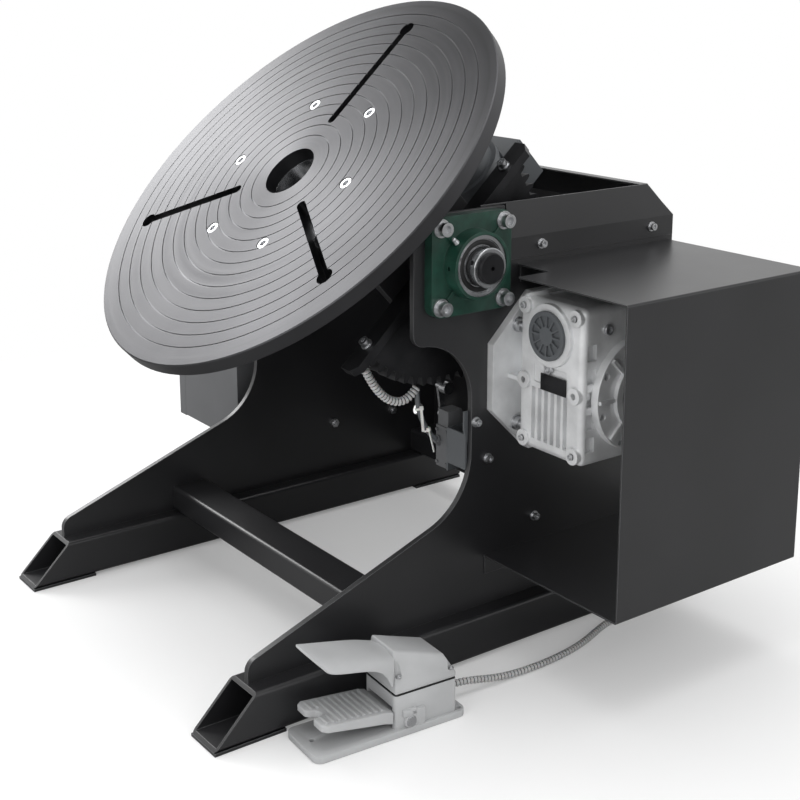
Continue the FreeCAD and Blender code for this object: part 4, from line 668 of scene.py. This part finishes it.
def walked(obj, step):
    """Evenly spaced points read along a line's own curve."""
    shape = bpy.data.meshes.new_from_object(obj)
    places = [vertex.co.copy() for vertex in shape.vertices]
    bpy.data.meshes.remove(shape)
    total = sum((b - a).length for a, b in zip(places, places[1:]))
    count = max(4, round(total / step))
    wanted, points, done, index = total / count, [places[0]], 0.0, 0
    for number in range(1, count):
        goal = number * wanted
        while done + (places[index + 1] - places[index]).length < goal:
            done += (places[index + 1] - places[index]).length
            index += 1
        run = places[index + 1] - places[index]
        points.append(places[index] + run * ((goal - done) / run.length))
    return points + [places[-1]], total


# How far the wall stands out at each of a rib's four steps, and the step after which the groove, with its
# painted shade, begins.
RIB_STEPS = (0.0, 1.0, 1.0, 0.35)
GROOVE_STEP = 3


def ribbed_hose(name, points, diameter, pitch, depth, finish, sides=18):
    """A hose whose wall swells at every rib, with painted shade in the grooves between the ribs: they get the
    dark rubber finish.
    """
    guide = spline(name + "_guide", points)
    places, total = walked(guide, pitch / len(RIB_STEPS))
    bpy.data.objects.remove(guide)
    data = bpy.data.meshes.new(name)
    shape = bmesh.new()
    side = None
    rings = []
    for number, spot in enumerate(places):
        ahead = places[min(number + 1, len(places) - 1)] - places[max(number - 1, 0)]
        ahead.normalize()
        if side is None:
            side = ahead.orthogonal().normalized()
        side = (side - ahead * side.dot(ahead)).normalized()
        other = ahead.cross(side)
        reach = diameter / 2 - depth * (1 - RIB_STEPS[number % len(RIB_STEPS)])
        rings.append([shape.verts.new(spot + (side * math.cos(a) + other * math.sin(a)) * reach)
                      for a in (math.tau * k / sides for k in range(sides))])
    for number, (low, high) in enumerate(zip(rings, rings[1:])):
        for k in range(sides):
            wall = shape.faces.new((low[k], low[(k + 1) % sides], high[(k + 1) % sides], high[k]))
            # painted shade: the groove bands get the dark rubber finish, though the sleeve is one material
            wall.material_index = 1 if number % len(RIB_STEPS) == GROOVE_STEP else 0
    shape.faces.new(list(reversed(rings[0])))
    shape.faces.new(rings[-1])
    bmesh.ops.recalc_face_normals(shape, faces=shape.faces)
    shape.to_mesh(data)
    shape.free()
    for polygon in data.polygons:
        polygon.use_smooth = True
    data.materials.append(FINISHES[finish])
    data.materials.append(FINISHES["rubber"])
    return added(name, data), places, total


class POSITIONER_OT_cables(bpy.types.Operator):
    """Pedal hose, tilt conduit and the lead of the limit switch"""
    bl_idname = "positioner.cables"
    bl_label = "Cables"

    def execute(self, context):
        sizes = context.scene.positioner_sizes
        route = [at(*point) for point in PEDAL_ROUTE]
        hose, path, total = ribbed_hose("pedal_hose", route, sizes.hose, sizes.hose_pitch, 0.0011, "sleeve")
        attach(hose, "frame")
        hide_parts("pedal_cable")
        route = [below_axis(point) for point in CONDUIT_ROUTE]
        conduit, path, total = ribbed_hose("corrugated_conduit", route, sizes.conduit,
                                           sizes.conduit_pitch, 0.0016, "sleeve")
        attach(conduit, "frame")
        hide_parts("tilt_conduit")
        route = [below_axis(point) for point in CABLE_ROUTE]
        lead = spline("switch_lead", route, sizes.lead)
        lead.data.materials.append(FINISHES["motor"])
        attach(lead, "frame")
        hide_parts("switch_cable")
        guide = spline("switch_lead_guide", route)
        _, total = walked(guide, 0.002)
        bpy.data.objects.remove(guide)
        return {"FINISHED"}


# Cable ties: how far round in millimetres, then the tail and the head in metres.
TIE_AROUND = 9.6
TAIL = (0.0012, 0.032)
HEAD = (0.006, 0.0045, 0.0055)


class POSITIONER_OT_ties(bpy.types.Operator):
    """Two nylon ties round the limit switch's lead, with their tails"""
    bl_idname = "positioner.ties"
    bl_label = "Cable ties"

    def execute(self, context):
        sizes = context.scene.positioner_sizes
        lead = [below_axis(point) for point in CABLE_ROUTE]
        for number, (step, tail) in enumerate(((2, (0.5, -0.25, -1)), (4, (0.2, 0.15, -1)))):
            spot, ahead = lead[step], lead[step + 1] - lead[step - 1]
            clear_selection()
            bpy.ops.mesh.primitive_torus_add(major_segments=36, minor_segments=8, location=spot,
                                             rotation=turn_to(ahead), major_radius=TIE_AROUND / 2000 - 0.0004,
                                             minor_radius=0.0008)
            loop = bpy.context.object
            loop.scale = (1, 1, 2.0)
            clear_selection()
            way = Vector(tail).normalized()
            start = spot + way.cross(ahead).normalized() * 0.004
            bpy.ops.mesh.primitive_cube_add(size=1, location=start + way * TAIL[1] / 2, rotation=turn_to(way))
            strip = bpy.context.object
            strip.scale = (sizes.tie, *TAIL)
            bpy.ops.object.transform_apply(location=False, rotation=False, scale=True)
            bpy.ops.object.mode_set(mode="EDIT")
            bpy.ops.mesh.subdivide(number_cuts=4)
            bpy.ops.object.mode_set(mode="OBJECT")
            bpy.ops.mesh.primitive_cube_add(size=1, location=start, rotation=turn_to(way))
            head = bpy.context.object
            head.scale = HEAD
            pick(loop, strip, head)
            bpy.ops.object.transform_apply(location=False, rotation=False, scale=True)
            bevel_edges(head, 0.0006)
            tie = joined([loop, strip, head])
            settle(tie, f"cable_tie_{number + 1}", "tie", "frame")
        return {"FINISHED"}


# Bearing trim, in metres: the seal's radius, its roundness and how far in it sits; the set screws' radius,
# how far in they sit and their angles in degrees. The nipple's place is in millimetres.
SEAL_RADIUS, SEAL_ROUND, SEAL_IN = 0.0305, 0.0035, 0.0022
SET_SCREW_RADIUS, SET_SCREW_IN, SET_SCREW_ANGLES = 0.0257, 0.0065, (100, 160)
NIPPLE = (306, -34, 583.5)


class POSITIONER_OT_bearing_trim(bpy.types.Operator):
    """Grease nipples and set screws of the flanged bearings, and their rubber seals"""
    bl_idname = "positioner.bearing_trim"
    bl_label = "Bearing trim"

    def execute(self, context):
        for word, sign in (("right", 1), ("left", -1)):
            low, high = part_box(f"{word}_bearing_outer_ring")
            face = high.x if sign > 0 else low.x
            clear_selection()
            bpy.ops.mesh.primitive_torus_add(major_segments=72, minor_segments=12,
                                             location=(face - sign * SEAL_IN, AXIS.y, AXIS.z),
                                             rotation=turn_to((1, 0, 0)), major_radius=SEAL_RADIUS,
                                             minor_radius=SEAL_ROUND)
            seal = bpy.context.object
            seal.scale = (1, 1, 0.45)
            settle(seal, f"{word}_bearing_seal", "rubber", "frame")
            bpy.ops.object.shade_smooth()
            ring_low, ring_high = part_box(f"{word}_bearing_inner_ring")
            tip = ring_high.x if sign > 0 else ring_low.x
            screws = []
            for angle in SET_SCREW_ANGLES:
                turn = math.radians(angle)
                way = Vector((0, math.cos(turn), math.sin(turn)))
                spot = Vector((tip - sign * SET_SCREW_IN, AXIS.y, AXIS.z)) + way * SET_SCREW_RADIUS
                screws.append(screw_head(spot, way, 6.2, 0.9, 3.2))
            settle(joined(screws), f"{word}_set_screws", "sector", "tilt")
            clear_selection()
            base = at(sign * NIPPLE[0], *NIPPLE[1:])
            bpy.ops.mesh.primitive_cone_add(vertices=20, radius1=0.0042, radius2=0.0028, depth=0.006,
                                            location=base, rotation=turn_to((0, -1, 1)))
            nipple = bpy.context.object
            bpy.ops.mesh.primitive_uv_sphere_add(segments=20, ring_count=12, radius=0.0031,
                                                 location=base + Vector((0, -0.0026, 0.0026)))
            nipple = joined([nipple, bpy.context.object])
            settle(nipple, f"{word}_grease_nipple", "zinc", "frame")
            bpy.ops.object.shade_smooth_by_angle(angle=math.radians(40))
        return {"FINISHED"}


# Gearbox trim, in metres from the housing's lower corner at the front left: how far in the front screws
# are, the front plug, and the plate's middle and size. The side plug counts back from the far upper corner.
SCREW_IN = 0.013
FRONT_PLUG = (0.06, 0.0041, 0.1165)
SIDE_PLUG = (-0.0004, 0.045, -0.03)
PLATE_PLACE = (0.068, 0.0037, 0.0975)
PLATE_SIZE = (0.047, 0.0016, 0.022)


class POSITIONER_OT_gearbox_trim(bpy.types.Operator):
    """Oil plugs, front screws and blank plate of the worm gearbox"""
    bl_idname = "positioner.gearbox_trim"
    bl_label = "Gearbox trim"

    def execute(self, context):
        low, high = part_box("gearbox_housing")
        screws = []
        for x in (low.x + SCREW_IN, high.x - SCREW_IN):
            for z in (low.z + SCREW_IN, high.z - SCREW_IN):
                screws.append(screw_head(Vector((x, low.y, z)), (0, -1, 0), 7.6, 3.0, 4.0))
        settle(joined(screws), "gearbox_front_screws", "zinc", "frame")
        side = Vector((high.x, low.y, high.z))
        plugs = [screw_head(low + Vector(FRONT_PLUG), (0, -1, 0), 13, 4.0, 8),
                 screw_head(side + Vector(SIDE_PLUG), (1, 0, 0), 14, 5.0, 8)]
        settle(joined(plugs), "gearbox_oil_plugs", "zinc", "frame")
        clear_selection()
        bpy.ops.mesh.primitive_cube_add(size=1, location=low + Vector(PLATE_PLACE))
        bpy.context.object.scale = PLATE_SIZE
        bpy.ops.object.transform_apply(location=True, rotation=True, scale=True)
        plate = bevel_edges(bpy.context.object, 0.0004)
        settle(plate, "gearbox_blank_plate", "sector", "frame")
        return {"FINISHED"}


class POSITIONER_OT_pedal(bpy.types.Operator):
    """The foot pedal's hood, treadle and base, cast with tapers and ribs"""
    bl_idname = "positioner.pedal"
    bl_label = "Foot pedal"

    def execute(self, context):
        # cover: a tapered case whose front corners carry a thin hood over the treadle
        case = stacked("pedal_case", [level(*CASE, SEAM), level(*CASE, 61),
                                      [(-26, 3, 110), (26, 3, 110), (26, 77, 86), (-26, 77, 86)]])
        bevel_edges(case, 0.003, 3)
        cut_by(case, joined([rod(x, y, z, 124, 4.6) for x, y, z in COVER_SCREWS]))
        rows = [[(-x, y, z) for x, y, z in half] + half[-2::-1] for half in HOOD]
        hood = sheet_over("pedal_hood", rows, 3.2)
        cover = settle(joined([case, hood]), "pedal_top_cover", "pedal", "frame")
        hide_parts("pedal_cover")
        screws = [screw_head(on_pedal(*spot), (0, 0, 1), 6.4, 2.6, 3.2) for spot in COVER_SCREWS]
        settle(joined(screws), "pedal_cover_screws", "zinc", "frame")

        # base: plate, lower case and the two ears of the treadle's pin
        plate = stacked("pedal_plate", [corners(*BASE, z) for z in (0, BASE_THICK)])
        holes = [rod(x, y, -1, BASE_THICK + 1, radius)
                 for x, y, radius in ((0, -96, 3.4), (-31, 97, 3), (31, 97, 3))]
        cut_by(plate, joined(holes))
        bevel_edges(plate, 0.0012)
        tub = stacked("pedal_tub", [corners(36, 0, 91, 5, 8), corners(35.5, 0, 91, 5, 53)])
        cut_by(tub, block(-28.5, 28.5, -4, 36, 8.5, 37))
        bevel_edges(tub, 0.001)
        ears = []
        for side in (-1, 1):
            ends = (side * EAR[0], side * EAR[1])
            ears.append(block(min(ends), max(ends), 22, 42, 8, 31))
            ears.append(block(min(ends), max(ends), 10, 30, 24, 33))
            ears.append(stacked("boss", [[(x, PIN[0] + a, PIN[1] + b) for a, b in circle(BOSS_RADIUS)]
                                         for x in ends]))
        for ear in ears:
            bevel_edges(ear, 0.0015)
        base = settle(joined([plate, tub] + ears), "pedal_bottom", "pedal", "frame")
        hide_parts("pedal_base")

        # treadle: a wedge notched at its tip, with a row of cross ribs
        tread = slab("pedal_tread", TREAD_PROFILE, TREAD_HALF)
        tools = [punch("notch", NOTCH)]
        tools += [punch("shoulder", ((s * 37, -102), (s * 28, -102), (s * 37, -91))) for s in (-1, 1)]
        cut_by(tread, joined(tools))
        bevel_edges(tread, 0.0016, 3)
        stem = slab("pedal_stem", STEM_PROFILE, STEM_HALF)
        bend, top = TREAD_PROFILE[1]
        ribs = []
        for number in range(10):
            y = bend - 2 - number * RIB_PITCH
            z = top + (bend - y) * TREAD_SLOPE
            spans = ((-29, -10), (10, 29)) if y < -80 else ((-29, 29),)
            for left, right in spans:
                ribs.append(bevel_edges(block(left, right, y - 2, y + 2, z - 1, z + 1.7), 0.0011, 3))
        tread = settle(joined([tread, stem] + ribs), "pedal_treadle", "pedal", "treadle")
        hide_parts("treadle")
        return {"FINISHED"}


class POSITIONER_OT_finishes(bpy.types.Operator):
    """Real finishes on the model's own pieces"""
    bl_idname = "positioner.finishes"
    bl_label = "Finishes"

    def execute(self, context):
        chosen = {name: finish for finish, names in NODE_FINISH.items() for name in names}
        for name, obj in frame["nodes"].items():
            made = FINISHES[chosen.get(name, "powder")]
            if not obj.material_slots:
                obj.data.materials.append(made)
            for slot in obj.material_slots:
                slot.material = made
        return {"FINISHED"}


# ---------------------------------------------------------------- stage
def studio_floor():
    """A pale floor that turns into pure white away from the part, and looks darker in its shiny faces."""
    clear_selection()
    bpy.ops.mesh.primitive_plane_add(size=40, location=(AXIS.x, AXIS.y, -0.0003))
    floor = bpy.context.object
    floor.name = "floor"
    made = bpy.data.materials.new("white studio floor")
    made.use_nodes = True
    tree = made.node_tree
    tree.nodes.clear()
    ray = node(tree, "ShaderNodeLightPath")
    tone = node(tree, "ShaderNodeMix", {"data_type": "RGBA", 6: linear("#f4f4f4"), 7: linear("#a2a2a2")},
                {0: ray.outputs["Is Glossy Ray"]})
    plain = node(tree, "ShaderNodeBsdfDiffuse", None, {"Color": tone.outputs[2]})
    white = node(tree, "ShaderNodeEmission", {"Color": (1, 1, 1, 1), "Strength": 1.0})
    place = node(tree, "ShaderNodeTexCoord").outputs["Object"]
    away = node(tree, "ShaderNodeVectorMath", {"operation": "LENGTH"}, {0: place})
    fade = node(tree, "ShaderNodeMapRange", {1: 0.75, 2: 1.5, 3: 0.2, 4: 1.0}, {0: away.outputs["Value"]})
    share = reckon(tree, "MULTIPLY", ray.outputs["Is Camera Ray"], fade.outputs[0])
    mixed = node(tree, "ShaderNodeMixShader", None, {0: share, 1: plain.outputs[0], 2: white.outputs[0]})
    node(tree, "ShaderNodeOutputMaterial", None, {"Surface": mixed.outputs[0]})
    floor.data.materials.append(made)


def studio_world(scene):
    """White surroundings that shiny faces see greyer overhead."""
    world = bpy.data.worlds.new("studio")
    scene.world = world
    world.use_nodes = True
    tree = world.node_tree
    tree.nodes.clear()
    ray = node(tree, "ShaderNodeLightPath")
    seen = reckon(tree, "MAXIMUM", ray.outputs["Is Camera Ray"], ray.outputs["Is Transmission Ray"])
    way = node(tree, "ShaderNodeTexCoord").outputs["Generated"]
    way = node(tree, "ShaderNodeSeparateXYZ", None, {0: way})
    sky = node(tree, "ShaderNodeMapRange", {1: 0.2, 2: 0.6, 3: 1.0, 4: 0.42}, {0: way.outputs["Z"]})
    power = node(tree, "ShaderNodeMix", {"data_type": "FLOAT", 2: 0.75},
                 {0: ray.outputs["Is Glossy Ray"], 3: sky.outputs[0]})
    soft = node(tree, "ShaderNodeBackground", {"Color": (1, 1, 1, 1)}, {"Strength": power.outputs[0]})
    white = node(tree, "ShaderNodeBackground", {"Color": (1, 1, 1, 1), "Strength": 1.0})
    mixed = node(tree, "ShaderNodeMixShader", None, {0: seen, 1: soft.outputs[0], 2: white.outputs[0]})
    node(tree, "ShaderNodeOutputWorld", None, {"Surface": mixed.outputs[0]})


# Lamps: name, place and target in metres, width, height and power in watts.
LAMPS = (
    ("overhead", (0.1, 0.2, 3.2), (0, 0, 0.4), 2.6, 2.2, 44),
    ("left_window", (-3.0, -0.7, 2.1), (0, 0, 0.5), 1.6, 1.8, 60),
    ("right_window", (2.9, 0.3, 1.6), (0.2, 0, 0.4), 1.4, 2.0, 12),
    ("front_fill", (1.2, -3.2, 1.5), (0.1, 0, 0.4), 2.0, 1.6, 18),
)


def studio_lamps():
    """Large soft lamps round the part."""
    for name, place, target, width, height, power in LAMPS:
        lamp = bpy.data.lights.new(name, "AREA")
        lamp.shape = "RECTANGLE"
        lamp.size = width
        lamp.size_y = height
        lamp.energy = power
        obj = added(name, lamp)
        obj.location = place
        obj.rotation_euler = (Vector(target) - Vector(place)).to_track_quat("-Z", "Y").to_euler()


def photo_camera(scene):
    """The camera from where the photograph was taken."""
    yaw, pitch, roll = (math.radians(a) for a in CAMERA_TURN)
    ahead = Vector((-math.sin(yaw) * math.cos(pitch), math.cos(yaw) * math.cos(pitch), -math.sin(pitch)))
    side = Vector((math.cos(yaw), math.sin(yaw), 0))
    up = side.cross(ahead)
    right = side * math.cos(roll) + up * math.sin(roll)
    up = up * math.cos(roll) - side * math.sin(roll)
    data = bpy.data.cameras.new("camera")
    data.lens = CAMERA_LENS
    data.sensor_width = 36
    data.shift_y = CAMERA_SHIFT
    data.clip_start = 0.05
    data.clip_end = 100
    camera = added("camera", data)
    turn = Matrix((right, up, -ahead)).transposed()
    camera.matrix_world = Matrix.Translation(at(*CAMERA_SPOT)) @ turn.to_4x4()
    scene.camera = camera


class POSITIONER_OT_stage(bpy.types.Operator):
    """Pale floor, soft lights, white surroundings and the camera"""
    bl_idname = "positioner.stage"
    bl_label = "Stage"

    def execute(self, context):
        studio_floor()
        studio_world(context.scene)
        studio_lamps()
        photo_camera(context.scene)
        context.scene.view_settings.view_transform = "Standard"
        return {"FINISHED"}


class POSITIONER_PT_panel(bpy.types.Panel):
    """Sizes, colours and steps of the positioner"""
    bl_idname = "POSITIONER_PT_panel"
    bl_label = "Welding positioner"
    bl_space_type = "VIEW_3D"
    bl_region_type = "UI"
    bl_category = "Positioner"

    def draw(self, context):
        for group in (context.scene.positioner_sizes, context.scene.positioner_colours):
            box = self.layout.box()
            for name in group.__annotations__:
                box.prop(group, name)
        for step in STEPS:
            self.layout.operator(step.bl_idname)


STEPS = (
    POSITIONER_OT_stage,
    POSITIONER_OT_cables,
    POSITIONER_OT_ties,
    POSITIONER_OT_finishes,
    POSITIONER_OT_bearing_trim,
    POSITIONER_OT_gearbox_trim,
    POSITIONER_OT_pedal,
)
CLASSES = (PositionerColours, PositionerSizes, *STEPS, POSITIONER_PT_panel)


def register():
    for each in CLASSES:
        bpy.utils.register_class(each)
    bpy.types.Scene.positioner_colours = bpy.props.PointerProperty(type=PositionerColours)
    bpy.types.Scene.positioner_sizes = bpy.props.PointerProperty(type=PositionerSizes)


def unregister():
    del bpy.types.Scene.positioner_sizes
    del bpy.types.Scene.positioner_colours
    for each in reversed(CLASSES):
        bpy.utils.unregister_class(each)


def main():
    register()
    scene = bpy.context.scene
    make_finishes(scene.positioner_colours, scene.positioner_sizes)
    bpy.ops.positioner.stage()
    bpy.ops.positioner.cables()
    bpy.ops.positioner.ties()
    bpy.ops.positioner.finishes()
    bpy.ops.positioner.bearing_trim()
    bpy.ops.positioner.gearbox_trim()
    bpy.ops.positioner.pedal()


if __name__ == "__main__":
    main()
